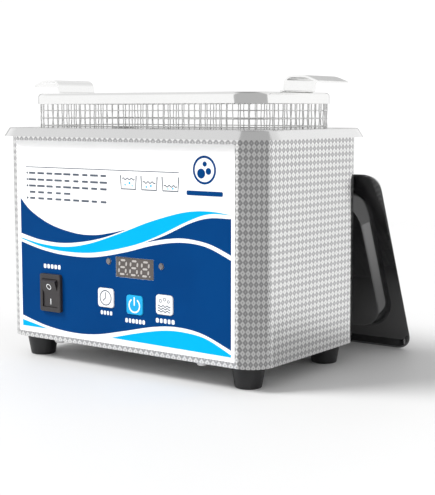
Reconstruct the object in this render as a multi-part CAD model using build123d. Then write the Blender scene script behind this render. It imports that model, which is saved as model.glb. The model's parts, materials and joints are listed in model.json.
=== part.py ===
from build123d import *
import math
import os

# A small benchtop ultrasonic cleaner with its basket held above the tank and its lid leaning on the back.
# Sizes are in millimetres. X runs to the right, Y to the back and Z up. The origin is on the table,
# under the middle of the housing.

# ---- Housing and feet ----
HOUSING_W = 175.0
HOUSING_D = 102.0
CORNER_R = 13.5
SHEET = 0.8
FOOT_H = 12.0
FOOT_TOP_R = 9.0
FOOT_BOTTOM_R = 6.9
FOOT_INSET_X = 15.2
FOOT_INSET_Y = 13.7
FOOT_BORE_R = 3.6
FOOT_BORE_H = 6.0
PLATE_T = 1.0
PLATE_LIP = 6.0
PLATE_FIT = 0.3
PLATE_SCREW_SIDE = 37.5
PLATE_SCREW_INSET = 4.4
VENT_SLOTS = 6
VENT_PITCH = 7.0
VENT_LENGTH = 26.0
VENT_WIDTH = 3.0

# ---- Tank ----
BASE_ROOM = 52.0
TANK_DEPTH = 65.1
TANK_SHEET = 1.0
FLANGE_OVERHANG = 1.9
SKIRT_OVERHANG = 4.9
SKIRT_H = 4.7
BASIN_INSET = 6.2
BASIN_TAPER = 1.3
BASIN_R = 16.0
BASIN_FLOOR_R = 5.0
ROLL_R = 3.0
RIM_EDGE_R = 1.1
GASKET_T = 0.8
GASKET_W = 2.6

# ---- Basket ----
BASKET_GAP_X = 2.9
BASKET_GAP_Y = 4.2
BASKET_R = 15.0
BAND_ABOVE_RIM = 13.1
BAND_H = 5.8
BAND_T = 0.8
BAND_LIP = 3.0
MESH_T = 1.5
MESH_FIT = 0.1
MESH_DEPTH = 46.0
MESH_BOTTOM_R = 4.0
HANDLE_W = 30.0
HANDLE_T = 1.0
HANDLE_REACH = 8.6
HANDLE_BENDS = [1.3, 4.0, 14.0]

# ---- Lid ----
LID_FIT_X = 1.0
LID_FIT_Y = 0.9
LID_R = 9.9
LID_WALL = 1.2
LID_FLANGE_DEPTH = 3.6
LID_SKIRT_INSET = 3.4
LID_PLATEAU_INSET = 10.8
LID_PLATEAU_INSET_X = 10.4
LID_PLATEAU_H = 7.5
LID_PLATEAU_DRAFT = 4.5
LID_PLATEAU_R = 20.0
LID_EDGE_R = 1.4
LID_LEAN = 23.1
LID_WALL_GAP = 0.3
LID_TOP_CLEAR = 6.0
LID_SHIFT_X = 4.0
LID_GRIP_W = 14.0
LID_GRIP_SPAN = 76.0
LID_GRIP_LEG = 10.0
LID_GRIP_BAR = 5.0
LID_GRIP_RISE = 16.5

# ---- Front controls: X from the middle of the front, heights from the housing's lower edge ----
FILM_T = 0.3
FILM_R = 0.6
FILM_LEFT = 10.8
FILM_RIGHT = 14.0
FILM_BELOW = 3.0
FILM_ABOVE = 2.2
CONTROL_X = 9.2
WINDOW_W = 25.3
WINDOW_H = 10.3
WINDOW_Z = BASE_ROOM - 6.7
LED_PITCH = 36.0
LED_Z = BASE_ROOM - 4.3
LED_R = 1.5
BUTTON_W = 11.1
BUTTON_H = 10.3
BUTTON_R = 1.8
BUTTON_PITCH = 20.1
BUTTON_Z = BASE_ROOM - 24.2
BUTTON_DROP = 2.0
BUTTON_PROUD = 0.5
BUTTON_RUN = 0.3
BUTTON_FLANGE = 0.9
BUTTON_FLANGE_T = 0.8
BUTTON_STEM_R = 2.0
BUTTON_EDGE_R = 0.3
SHEET_FIT = 0.1
CUT_FIT = 0.2
DISPLAY_BOARD_W = 64.0
DISPLAY_BOARD_H = 37.5
DISPLAY_BOARD_Z = BASE_ROOM - 19.25
DISPLAY_GAP = 7.4
BOARD_T = 1.6
TACT_CASE_W = 6.0
TACT_CASE_H = 3.5
TACT_PIN_R = 1.7
TACT_PIN_H = 0.8
BUTTON_PLAY = 0.6
LED_COLLAR = 0.4
LED_DOME = 0.5
STUD_INSET = 3.0
STUD_R = 2.4
STUD_BORE_R = 1.0
RIBBON_SOCKET_D = 4.0
RIBBON_SOCKET_LOW = 10.0
RIBBON_SOCKET_H = 5.0

# ---- Rocker switch ----
SWITCH_LEFT = 36.65
SWITCH_Z = 26.85
ROCKER_R = 8.3
ROCKER_W = 10.6
SWITCH_BODY_W = ROCKER_W + 2.0
SWITCH_BODY_H = 2 * ROCKER_R + 1.8
BEZEL_W = SWITCH_BODY_W + 3.0
BEZEL_H = SWITCH_BODY_H + 2.8
BEZEL_T = 2.0
BEZEL_R = 1.2
BEZEL_EDGE_R = 0.6
SWITCH_DEPTH = 14.0
SWITCH_CLIP_W = 6.0
SWITCH_CLIP_H = 1.0
SWITCH_CLIP_L = 5.1
ROCKER_RUN = 0.3
ROCKER_TILT = 10.0
ROCKER_CREASE = 2.6
ROCKER_BACK = 3.5
PIVOT_DEPTH = 1.0
PIVOT_R = 1.2
TAB_W = 4.8
TAB_T = 0.8
TAB_L = 9.0

# ---- Mains inlet, a standard flanged three-pin cold inlet ----
INLET_LEFT = 37.5
INLET_Z = 24.0
INLET_FLANGE_W = 50.0
INLET_FLANGE_H = 22.6
INLET_FLANGE_T = 2.4
INLET_BODY_W = 27.0
INLET_BODY_H = 19.6
INLET_DEPTH = 18.0
INLET_MOUTH_W = 24.2
INLET_MOUTH_H = 16.6
INLET_MOUTH_DEPTH = 17.0
INLET_CHAMFER = 4.0
INLET_SCREW_PITCH = 40.0
PIN_W = 2.0
PIN_H = 4.0
PIN_PITCH = 14.0
PIN_RECESS = 5.0

# ---- Transducer, hung under the tank ----
HORN_R = 22.5
HORN_NECK_R = 19.0
HORN_H = 16.0
RING_R = 19.0
RING_BORE_R = 7.5
RING_T = 5.0
ELECTRODE_T = 0.3
ELECTRODE_TAB = 5.0
BACK_H = BASE_ROOM - 38.0
BOLT_R = 4.0
BOLT_HEAD_R = 6.5
BOLT_HEAD_H = 6.0
BOLT_REACH = 9.0

# ---- Driver board ----
BOARD_SIDE_GAP = 7.5
BOARD_WALL_GAP = 5.5
BOARD_FRONT_GAP = 17.0
BOARD_BACK_GAP = 7.0
STANDOFF_H = 8.0
STANDOFF_R = 2.9
STANDOFF_INSET = 4.0
WIRE_D = 2.0
LEAD_D = 1.4
RIBBON_W = 7.0
RIBBON_T = 0.8

# ---- Parts on the driver board ----
TRANSFORMER_IN = 19.0
TRANSFORMER_Y = 4.0
CORE_W = 20.0
CORE_H = 18.0
CORE_LIMB = 3.5
CORE_YOKE = 3.0
CORE_LEG_W = 4.0
CORE_LEG_D = 8.0
BOBBIN_BASE_H = 2.0
WINDING_W = 12.0
WINDING_D = 19.0
WINDING_H = 11.0
CAN_R = 4.0
CAN_H = 14.0
CAN_IN = (14.0, 23.0)
CAN_BACK = 6.0
SINK_L = HOUSING_D - 62.0
SINK_H = 28.0
SINK_IN = 10.0
SINK_BASE_T = 2.5
SINK_REACH = 8.0
SINK_FINS = 8
SINK_FIN_T = 1.5
TRANSISTOR_Y = 6.0 - SINK_L / 2
TRANSISTOR_W = 10.0
TRANSISTOR_T = 4.5
TRANSISTOR_LOW = 8.0
TRANSISTOR_H = 9.0
TRANSISTOR_TAB_T = 1.3
TRANSISTOR_TAB_H = 6.0
TRANSISTOR_LEG_PITCH = 2.5
TRANSISTOR_LEG_W = 0.8
FUSE_BACK = 15.5
FUSE_UP = 4.5
FUSE_R = 2.4
FUSE_L = 20.0
FUSE_CLIP_W = 3.0

# ---- Places worked out from the sizes above ----
HALF_W = HOUSING_W / 2
HALF_D = HOUSING_D / 2
FRONT = -HALF_D
BACK = HALF_D
PLATE_TOP = FOOT_H + PLATE_T
TANK_FLOOR = PLATE_TOP + BASE_ROOM - TANK_SHEET
RIM_TOP = TANK_FLOOR + TANK_SHEET + TANK_DEPTH
SKIRT_LOW = RIM_TOP - SKIRT_H
SHELL_TOP = RIM_TOP - TANK_SHEET - GASKET_T
BASIN_W = HOUSING_W - 2 * BASIN_INSET
BASIN_D = HOUSING_D - 2 * (BASIN_INSET + 0.5)
BASKET_W = BASIN_W - 2 * BASKET_GAP_X
BASKET_D = BASIN_D - 2 * (BASKET_GAP_Y - 0.5)
BAND_LOW = RIM_TOP + BAND_ABOVE_RIM
BAND_TOP = BAND_LOW + BAND_H
LID_W = HOUSING_W + 2 * (SKIRT_OVERHANG + LID_FIT_X)
LID_L = HOUSING_D + 2 * (SKIRT_OVERHANG + LID_FIT_Y)
SWITCH_X = -HALF_W + SWITCH_LEFT
INLET_X = -HALF_W + INLET_LEFT
INLET_MID = FOOT_H + INLET_Z
BOARD_LEFT = HORN_R + BOARD_SIDE_GAP
BOARD_RIGHT = HALF_W - SHEET - BOARD_WALL_GAP
BOARD_FRONT = FRONT + BOARD_FRONT_GAP
BOARD_BACK = BACK - BOARD_BACK_GAP
BOARD_Z = PLATE_TOP + STANDOFF_H + BOARD_T
DISPLAY_FACE = FRONT + DISPLAY_GAP
DISPLAY_BACK = DISPLAY_FACE + BOARD_T


def block(x0, x1, y0, y1, z0, z1):
    """A box between two corners."""
    middle = Pos((x0 + x1) / 2, (y0 + y1) / 2, (z0 + z1) / 2)
    return middle * Box(x1 - x0, y1 - y0, z1 - z0)


def slab(width, depth, radius, z0, z1):
    """A plate with rounded corners, centred on the housing."""
    return extrude(Pos(0, 0, z0) * RectangleRounded(width, depth, radius), z1 - z0)


def flare(low, high, z0, z1):
    """A solid between two rounded rectangles, each given as width, depth and corner radius."""
    return loft([Pos(0, 0, z0) * RectangleRounded(*low), Pos(0, 0, z1) * RectangleRounded(*high)], ruled=True)


def facing(x, z, width, height, radius, y0, y1):
    """A rounded plate that faces the front, between y0 and y1."""
    face = Plane.XZ.offset(-y1) * Pos(x, z) * RectangleRounded(width, height, radius)
    return extrude(face, y1 - y0)


def rod_z(x, y, radius, z0, z1):
    return Pos(x, y, (z0 + z1) / 2) * Cylinder(radius, z1 - z0)


def rod_y(x, z, radius, y0, y1):
    return Pos(x, (y0 + y1) / 2, z) * Rot(90, 0, 0) * Cylinder(radius, y1 - y0)


def rod_x(x, y, z, radius, length):
    return Pos(x, y, z) * Rot(0, 90, 0) * Cylinder(radius, length)


def corners(half_x, half_y):
    return [(x, y) for x in (-half_x, half_x) for y in (-half_y, half_y)]


def group(pieces):
    return Compound([solid for piece in pieces for solid in piece.solids()])


def pan_screw(radius, length, head_r, head_h):
    """A cross-head screw that points up, with its head just under z = 0."""
    head = Pos(0, 0, -head_h / 2) * Cylinder(head_r, head_h)
    head = fillet(head.edges().group_by(Axis.Z)[0], head_h * 0.7)
    slot = Pos(0, 0, -head_h) * Box(head_r, 0.7, head_h)
    cross = slot + Rot(0, 0, 90) * slot
    return head - cross + Pos(0, 0, length / 2) * Cylinder(radius, length)


def nut(radius, across, height):
    return extrude(RegularPolygon(across / 2, 6, major_radius=False) - Circle(radius), height)


def wire(points, diameter):
    """A round lead along straight runs joined by arcs as large as the runs allow."""
    spots = [Vector(*p) for p in points]
    runs = [b - a for a, b in zip(spots, spots[1:])]
    radii = []
    for before, after in zip(runs, runs[1:]):
        turn = math.radians(before.get_angle(after))
        radii.append(0.45 * min(before.length, after.length) / math.tan(turn / 2))
    print("lead radii", [round(r, 1) for r in radii], "for diameter", diameter)
    path = FilletPolyline(*spots, radius=radii)
    start = Plane(origin=path @ 0, z_dir=path % 0)
    return sweep(start * Circle(diameter / 2), path=path)


# ---- Housing ----
def panel_holes():
    """Openings through the front sheet and film for the switch, window, lamps and buttons."""
    y0, y1 = FRONT - 5, FRONT + 5
    cuts = [facing(SWITCH_X, FOOT_H + SWITCH_Z, SWITCH_BODY_W + 2 * CUT_FIT, SWITCH_BODY_H + 2 * CUT_FIT,
                   0.5, y0, y1)]
    cuts.append(facing(CONTROL_X, FOOT_H + WINDOW_Z, WINDOW_W + 2 * CUT_FIT, WINDOW_H + 2 * CUT_FIT,
                       0.4, y0, y1))
    for x, z in led_places():
        cuts.append(rod_y(x, z, LED_R + CUT_FIT, y0, y1))
    for x, z in button_places():
        cuts.append(facing(x, z, BUTTON_W + 2 * BUTTON_RUN, BUTTON_H + 2 * BUTTON_RUN,
                           BUTTON_R + BUTTON_RUN, y0, y1))
    return cuts


def led_places():
    return [(CONTROL_X + side * LED_PITCH / 2, FOOT_H + LED_Z) for side in (-1, 1)]


def button_places():
    """Centres of the three buttons from left to right; the middle one sits lower."""
    drops = (0, BUTTON_DROP, 0)
    return [(CONTROL_X + (i - 1) * BUTTON_PITCH, FOOT_H + BUTTON_Z - drop) for i, drop in enumerate(drops)]


def plate_screw_places():
    return corners(HALF_W - PLATE_SCREW_SIDE, HALF_D - PLATE_SCREW_INSET)


def foot_places():
    return corners(HALF_W - FOOT_INSET_X, HALF_D - FOOT_INSET_Y)


def inlet_screw_places():
    return [INLET_X + side * INLET_SCREW_PITCH / 2 for side in (-1, 1)]


def housing_shell():
    """The wrapped sheet body, with a lip turned in at the top and at the bottom."""
    inner_r = CORNER_R - SHEET
    shell = slab(HOUSING_W, HOUSING_D, CORNER_R, FOOT_H, SHELL_TOP)
    room_w, room_d = HOUSING_W - 2 * SHEET, HOUSING_D - 2 * SHEET
    shell -= slab(room_w, room_d, inner_r, PLATE_TOP + SHEET, SHELL_TOP - SHEET)
    shell -= slab(room_w, room_d, inner_r, FOOT_H - 1, PLATE_TOP)
    shell -= slab(HOUSING_W - 2 * (SHEET + PLATE_LIP), HOUSING_D - 2 * (SHEET + PLATE_LIP),
                  3.0, FOOT_H, PLATE_TOP + 2 * SHEET)
    shell -= slab(HOUSING_W - 2 * GASKET_W, HOUSING_D - 2 * GASKET_W,
                  BASIN_R, SHELL_TOP - 2 * SHEET, SHELL_TOP + 1)
    shell -= panel_holes()
    shell -= block(INLET_X - INLET_BODY_W / 2 - CUT_FIT, INLET_X + INLET_BODY_W / 2 + CUT_FIT,
                   BACK - 2 * SHEET, BACK + 1,
                   INLET_MID - INLET_BODY_H / 2 - CUT_FIT, INLET_MID + INLET_BODY_H / 2 + CUT_FIT)
    shell -= [rod_y(x, INLET_MID, 1.7, BACK - 5, BACK + 1) for x in inlet_screw_places()]
    shell -= [rod_z(x, y, 1.6, FOOT_H, PLATE_TOP + 2) for x, y in plate_screw_places()]
    return shell


def bottom_plate():
    """The flat base with rows of vent slots, carrying the feet and the driver board."""
    fit = SHEET + PLATE_FIT
    plate = slab(HOUSING_W - 2 * fit, HOUSING_D - 2 * fit, CORNER_R - fit, FOOT_H, PLATE_TOP)
    slot = extrude(Pos(0, 0, FOOT_H - 1) * SlotOverall(VENT_LENGTH, VENT_WIDTH), PLATE_T + 2)
    for row in range(VENT_SLOTS):
        y = (row - (VENT_SLOTS - 1) / 2) * VENT_PITCH
        plate -= [Pos(x, y, 0) * slot for x in (-HALF_W / 2, HALF_W / 2)]
    plate -= [rod_z(x, y, 1.6, FOOT_H - 1, PLATE_TOP + 1) for x, y in plate_screw_places()]
    plate -= [rod_z(x, y, 1.7, FOOT_H - 1, PLATE_TOP + 1) for x, y in foot_places()]
    plate -= [rod_z(x, y, 1.2, FOOT_H - 1, PLATE_TOP + 1) for x, y in standoff_places()]
    plate -= rod_z(*ground_place(), 2.0, FOOT_H - 1, PLATE_TOP + 1)
    return plate


def bottom_plate_screws():
    return group([Pos(x, y, FOOT_H) * pan_screw(1.5, 4.5, 3.0, 2.2) for x, y in plate_screw_places()])


def foot(x, y):
    """A tapered rubber foot with a deep bore for its screw."""
    cone = Pos(x, y, FOOT_H / 2) * Cone(FOOT_BOTTOM_R, FOOT_TOP_R, FOOT_H)
    cone = fillet(cone.edges().group_by(Axis.Z)[0], 0.8)
    return cone - rod_z(x, y, FOOT_BORE_R, -1, FOOT_BORE_H) - rod_z(x, y, 1.7, 0, FOOT_H + 1)


def foot_screws():
    return group([Pos(x, y, FOOT_BORE_H) * pan_screw(1.5, 10.0, 2.9, 2.0) for x, y in foot_places()])


# ---- Tank ----
def tank():
    """A drawn basin with rolled edge, flat flange and a skirt that slopes out over the housing."""
    t = TANK_SHEET
    flange = (HOUSING_W + 2 * FLANGE_OVERHANG, HOUSING_D + 2 * FLANGE_OVERHANG, CORNER_R + FLANGE_OVERHANG)
    skirt = (HOUSING_W + 2 * SKIRT_OVERHANG, HOUSING_D + 2 * SKIRT_OVERHANG, CORNER_R + SKIRT_OVERHANG)
    under = tuple(v - 2 * t for v in flange[:2]) + (flange[2] - t,)
    inner = tuple(v - 2 * t for v in skirt[:2]) + (skirt[2] - t,)
    rim = flare(skirt, flange, SKIRT_LOW, RIM_TOP)
    rim = fillet(rim.faces().sort_by(Axis.Z)[-1].edges(), RIM_EDGE_R)
    rim -= flare(inner, under, SKIRT_LOW, RIM_TOP - t)
    top = (BASIN_W, BASIN_D, BASIN_R)
    floor = (BASIN_W - 2 * BASIN_TAPER, BASIN_D - 2 * BASIN_TAPER, BASIN_R - 1)
    cup = flare(tuple(v + 2 * t for v in floor[:2]) + (floor[2] + t,),
                tuple(v + 2 * t for v in top[:2]) + (top[2] + t,), TANK_FLOOR, RIM_TOP - t)
    cup = fillet(cup.faces().sort_by(Axis.Z)[0].edges(), BASIN_FLOOR_R + t)
    body = rim + cup
    seam = [e for e in body.edges() if abs(e.center().Z - (RIM_TOP - t)) < 0.01
            and abs(e.center().X) < HALF_W - 4 and abs(e.center().Y) < HALF_D - 4]
    body = fillet(seam, ROLL_R - t)
    cavity = flare(floor, top, TANK_FLOOR + t, RIM_TOP)
    cavity = fillet(cavity.faces().sort_by(Axis.Z)[0].edges(), BASIN_FLOOR_R)
    body -= cavity
    lip = [e for e in body.edges() if abs(e.center().Z - RIM_TOP) < 0.01
           and abs(e.center().X) < HALF_W - 4 and abs(e.center().Y) < HALF_D - 4]
    return fillet(lip, ROLL_R)


def tank_gasket():
    """The soft seal between the housing's turned-in lip and the flange."""
    ring = slab(HOUSING_W - 0.4, HOUSING_D - 0.4, CORNER_R - 0.2, SHELL_TOP, SHELL_TOP + GASKET_T)
    hole = slab(HOUSING_W - 2 * GASKET_W, HOUSING_D - 2 * GASKET_W, BASIN_R, SHELL_TOP - 1, SHELL_TOP + 2)
    return ring - hole


# ---- Transducer ----
HORN_LOW = TANK_FLOOR - HORN_H
RING_ONE = HORN_LOW - RING_T
RING_TWO = RING_ONE - ELECTRODE_T - RING_T
BACK_TOP = RING_TWO - ELECTRODE_T
BACK_LOW = BACK_TOP - BACK_H


def transducer_front_mass():
    horn = Pos(0, 0, HORN_LOW + HORN_H / 2) * Cone(HORN_NECK_R, HORN_R, HORN_H)
    return horn - rod_z(0, 0, BOLT_R, HORN_LOW - 1, HORN_LOW + BOLT_REACH)


def transducer_piezo_rings():
    ring = Cylinder(RING_R, RING_T) - Cylinder(RING_BORE_R, RING_T)
    return group([Pos(0, 0, z + RING_T / 2) * ring for z in (RING_ONE, RING_TWO)])


def electrode(z, y):
    """A thin contact ring whose tab stands out past the ceramic on the side of the driver board."""
    disc = rod_z(0, 0, RING_R, z, z + ELECTRODE_T) - rod_z(0, 0, RING_BORE_R, z - 1, z + 1)
    return disc + block(RING_R - 3, RING_R + ELECTRODE_TAB, y - 2, y + 2, z, z + ELECTRODE_T)


def electrode_places():
    """Height and Y of the two contact tabs."""
    return [(RING_ONE - ELECTRODE_T, -4.0), (RING_TWO - ELECTRODE_T, 4.0)]


def transducer_electrodes():
    return group([electrode(z, y) for z, y in electrode_places()])


def transducer_back_mass():
    mass = rod_z(0, 0, RING_R, BACK_LOW, BACK_TOP) - rod_z(0, 0, BOLT_R + 0.3, BACK_LOW - 1, BACK_TOP + 1)
    return chamfer(mass.edges().group_by(Axis.Z)[0].sort_by(SortBy.RADIUS)[-1:], 1.0)


def transducer_bolt():
    """The socket-head bolt that squeezes the stack together."""
    head = rod_z(0, 0, BOLT_HEAD_R, BACK_LOW - BOLT_HEAD_H, BACK_LOW)
    socket = extrude(Pos(0, 0, BACK_LOW - BOLT_HEAD_H) * RegularPolygon(3.0, 6, major_radius=False), 3.5)
    return head - socket + rod_z(0, 0, BOLT_R, BACK_LOW, HORN_LOW + BOLT_REACH)


# ---- Driver board ----
def standoff_places():
    inset = STANDOFF_INSET
    return [(x, y) for x in (BOARD_LEFT + inset, BOARD_RIGHT - inset)
            for y in (BOARD_FRONT + inset, BOARD_BACK - inset)]


def ground_place():
    return (-HALF_W + 22.0, -4.0)


def driver_board():
    board = block(BOARD_LEFT, BOARD_RIGHT, BOARD_FRONT, BOARD_BACK, BOARD_Z - BOARD_T, BOARD_Z)
    return board - [rod_z(x, y, 1.6, BOARD_Z - 3, BOARD_Z + 1) for x, y in standoff_places()]


def board_standoffs():
    """Four hexagonal posts, each with a threaded spigot through the bottom plate."""
    posts = []
    for x, y in standoff_places():
        post = extrude(RegularPolygon(STANDOFF_R, 6) - Circle(1.25), STANDOFF_H)
        posts.append(Pos(x, y, PLATE_TOP) * post)
    return group(posts)


def board_screws():
    """Screws that hold the driver board down and the display board back."""
    screw = pan_screw(1.2, 6.0, 2.4, 1.5)
    pieces = [Pos(x, y, BOARD_Z) * Rot(180, 0, 0) * screw for x, y in standoff_places()]
    short = pan_screw(1.0, BOARD_T + 3.0, 1.9, 1.2)
    pieces += [Pos(x, DISPLAY_BACK, z) * Rot(90, 0, 0) * short for x, z in stud_places()]
    return group(pieces)


def driver_transformer():
    """A ferrite core with its wound bobbin."""
    half, low = CORE_W / 2, BOARD_Z + BOBBIN_BASE_H
    top = low + CORE_H
    middle = (low + top) / 2
    yoke_low, yoke_top = low + CORE_YOKE, top - CORE_YOKE
    core = block(-half, half, -half, half, low, top)
    core -= block(CORE_LIMB - half, half - CORE_LIMB, -half - 1, half + 1, yoke_low, yoke_top)
    leg = Pos(0, 0, middle) * Box(CORE_LEG_W, CORE_LEG_D, yoke_top - yoke_low + 1)
    base = block(1 - half, half - 1, -half, half, BOARD_Z, low)
    winding = Pos(0, 0, middle) * Box(WINDING_W, WINDING_D, WINDING_H)
    winding = fillet(winding.edges().filter_by(Axis.Z), WINDING_W / 4) - leg
    return Pos(BOARD_LEFT + TRANSFORMER_IN, TRANSFORMER_Y, 0) * group([core + leg + base, winding])


def driver_capacitors():
    """Two tall electrolytic cans near the back of the board."""
    cans = []
    for inset in CAN_IN:
        can = rod_z(BOARD_LEFT + inset, BOARD_BACK - CAN_BACK, CAN_R, BOARD_Z, BOARD_Z + CAN_H)
        cans.append(fillet(can.edges().group_by(Axis.Z)[-1], CAN_R / 5))
    return group(cans)


def driver_heat_sink():
    """A finned extrusion that stands along the outer side of the board."""
    x0, top = BOARD_RIGHT - SINK_IN, BOARD_Z + SINK_H
    sink = block(x0, x0 + SINK_BASE_T, -SINK_L / 2, SINK_L / 2, BOARD_Z, top)
    pitch = (SINK_L - SINK_FIN_T) / (SINK_FINS - 1)
    for i in range(SINK_FINS):
        y = -SINK_L / 2 + i * pitch
        sink += block(x0 + SINK_BASE_T / 2, x0 + SINK_REACH, y, y + SINK_FIN_T, BOARD_Z, top)
    return sink


def driver_transistor():
    """The power transistor, flat against the heat sink."""
    x1 = BOARD_RIGHT - SINK_IN
    y0, y1 = TRANSISTOR_Y - TRANSISTOR_W / 2, TRANSISTOR_Y + TRANSISTOR_W / 2
    low = BOARD_Z + TRANSISTOR_LOW
    top = low + TRANSISTOR_H
    body = block(x1 - TRANSISTOR_T, x1, y0, y1, low, top)
    tab = block(x1 - TRANSISTOR_TAB_T, x1, y0, y1, top - 1, top + TRANSISTOR_TAB_H)
    tab -= rod_x(x1, TRANSISTOR_Y, top + TRANSISTOR_TAB_H / 2, 1.8, 2 * TRANSISTOR_T)
    leg_x, half = x1 - TRANSISTOR_T / 2, TRANSISTOR_LEG_W / 2
    legs = [block(leg_x - 0.3, leg_x + 0.3, y - half, y + half, BOARD_Z, low + 0.5)
            for y in (TRANSISTOR_Y + i * TRANSISTOR_LEG_PITCH for i in (-1, 0, 1))]
    return body + tab + legs


def driver_fuse():
    """A glass fuse in two clips, with end caps."""
    y, z = BOARD_FRONT + FUSE_BACK, BOARD_Z + FUSE_UP
    x = BOARD_LEFT + 1 + FUSE_L / 2
    tube = rod_x(x, y, z, FUSE_R, FUSE_L)
    reach, half = FUSE_L / 2 - FUSE_CLIP_W, FUSE_CLIP_W / 2
    clips = [block(xc - half, xc + half, y - FUSE_R - 0.1, y + FUSE_R + 0.1, BOARD_Z, z + 1)
             for xc in (x - reach, x + reach)]
    return tube + clips


def header_blocks():
    """Boxes of the four wire headers on the driver board, as x0, x1, y0, y1 and height."""
    left, front, back = BOARD_LEFT, BOARD_FRONT, BOARD_BACK
    return {
        "ribbon": (left + 1, left + 9, front + 8, front + 12.5, 6.0),
        "mains": (left + 16, left + 26, front + 1, front + 8, 8.0),
        "neutral": (left + 1, left + 9, back - 15, back - 7, 8.0),
        "output": (left + 1, left + 7, -7, 8, 7.0),
    }


def driver_connectors():
    pieces = [block(x0, x1, y0, y1, BOARD_Z, BOARD_Z + h) for x0, x1, y0, y1, h in header_blocks().values()]
    return group(pieces)


# ---- Display ----
def stud_places():
    x, z = DISPLAY_BOARD_W / 2 - STUD_INSET, DISPLAY_BOARD_H / 2 - STUD_INSET
    return [(CONTROL_X + sx * x, FOOT_H + DISPLAY_BOARD_Z + sz * z) for sx in (-1, 1) for sz in (-1, 1)]


def display_board():
    z = FOOT_H + DISPLAY_BOARD_Z
    board = facing(CONTROL_X, z, DISPLAY_BOARD_W, DISPLAY_BOARD_H, 1.0, DISPLAY_FACE, DISPLAY_BACK)
    board -= [rod_y(x, zs, 1.3, DISPLAY_FACE - 1, DISPLAY_BACK + 1) for x, zs in stud_places()]
    x0, x1 = header_blocks()["ribbon"][:2]
    low = BOARD_Z + RIBBON_SOCKET_LOW
    socket = block(x0, x1, DISPLAY_BACK, DISPLAY_BACK + RIBBON_SOCKET_D, low, low + RIBBON_SOCKET_H)
    return board + socket


def display_standoffs():
    """Four short posts fixed to the back of the front sheet."""
    posts = []
    for x, z in stud_places():
        bore = rod_y(x, z, STUD_BORE_R, FRONT + 3, DISPLAY_FACE + 1)
        posts.append(rod_y(x, z, STUD_R, FRONT + SHEET, DISPLAY_FACE) - bore)
    return group(posts)


def display_module():
    """The three-digit display block behind the window, flush with the film."""
    z = FOOT_H + WINDOW_Z
    return facing(CONTROL_X, z, WINDOW_W, WINDOW_H, 0.3, FRONT - FILM_T, DISPLAY_FACE)


def led(x, z):
    """A round lamp with a domed nose and a collar."""
    nose = FRONT - FILM_T
    body = rod_y(x, z, LED_R, nose, DISPLAY_FACE)
    cut = block(x - LED_R, x + LED_R, nose - LED_DOME, nose, z - LED_R, z + LED_R)
    dome = Pos(x, nose, z) * Sphere(LED_R) & cut
    return body + dome + rod_y(x, z, LED_R + LED_COLLAR, DISPLAY_FACE - 1, DISPLAY_FACE)


def tact_switches():
    pieces = []
    for x, z in button_places():
        front = DISPLAY_FACE - TACT_CASE_H
        case = facing(x, z, TACT_CASE_W, TACT_CASE_W, 0.3, front, DISPLAY_FACE)
        pieces.append(case + rod_y(x, z, TACT_PIN_R, front - TACT_PIN_H, front))
    return group(pieces)


def front_overlay():
    """The printed film, stuck on the flat of the front."""
    x0, x1 = -HALF_W + FILM_LEFT, HALF_W - FILM_RIGHT
    z0, z1 = FOOT_H + FILM_BELOW, SKIRT_LOW - FILM_ABOVE
    film = facing((x0 + x1) / 2, (z0 + z1) / 2, x1 - x0, z1 - z0, FILM_R, FRONT - FILM_T, FRONT)
    return film - panel_holes()


def button(x, z):
    """A flat key with a flange that stops it behind the sheet and a stem for its switch."""
    face = FRONT - FILM_T - BUTTON_PROUD
    flange_front = FRONT + SHEET + SHEET_FIT
    flange_back = flange_front + BUTTON_FLANGE_T
    cap = facing(x, z, BUTTON_W, BUTTON_H, BUTTON_R, face, flange_back)
    cap = fillet(cap.edges().group_by(Axis.Y)[0], BUTTON_EDGE_R)
    flange = facing(x, z, BUTTON_W + 2 * BUTTON_FLANGE, BUTTON_H + 2 * BUTTON_FLANGE, BUTTON_R,
                    flange_front, flange_back)
    stem_end = DISPLAY_FACE - TACT_CASE_H - TACT_PIN_H - BUTTON_PLAY
    return cap + flange + rod_y(x, z, BUTTON_STEM_R, flange_back - SHEET_FIT, stem_end)


# ---- Rocker switch ----
PIVOT_Y = FRONT + PIVOT_DEPTH
PIVOT_Z = FOOT_H + SWITCH_Z
BEZEL_BACK = FRONT - FILM_T
BEZEL_FACE = BEZEL_BACK - BEZEL_T


def switch_body():
    """The bezel and the snap-in body, hollowed for the rocker."""
    bezel = facing(SWITCH_X, PIVOT_Z, BEZEL_W, BEZEL_H, BEZEL_R, BEZEL_FACE, BEZEL_BACK)
    bezel = fillet(bezel.faces().sort_by(Axis.Y)[0].edges(), BEZEL_EDGE_R)
    body = facing(SWITCH_X, PIVOT_Z, SWITCH_BODY_W, SWITCH_BODY_H, 0.4, BEZEL_BACK, FRONT + SWITCH_DEPTH)
    grip_y = FRONT + SHEET + SHEET_FIT
    wing = Plane.YZ * make_face(Polyline((grip_y, 0), (grip_y, SWITCH_CLIP_H),
                                         (grip_y + SWITCH_CLIP_L, 0), close=True))
    for side in (-1, 1):
        turned = mirror(wing, Plane.XY) if side < 0 else wing
        place = Pos(SWITCH_X, 0, PIVOT_Z + side * (SWITCH_BODY_H / 2 - 0.01))
        body += place * extrude(turned, SWITCH_CLIP_W / 2, both=True)
    body += bezel
    hollow = rod_x(SWITCH_X, PIVOT_Y, PIVOT_Z, ROCKER_R + ROCKER_RUN, ROCKER_W + 2 * ROCKER_RUN)
    body -= hollow
    body -= rod_x(SWITCH_X, PIVOT_Y, PIVOT_Z, PIVOT_R + 0.25, SWITCH_BODY_W + 2)
    return body


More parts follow.
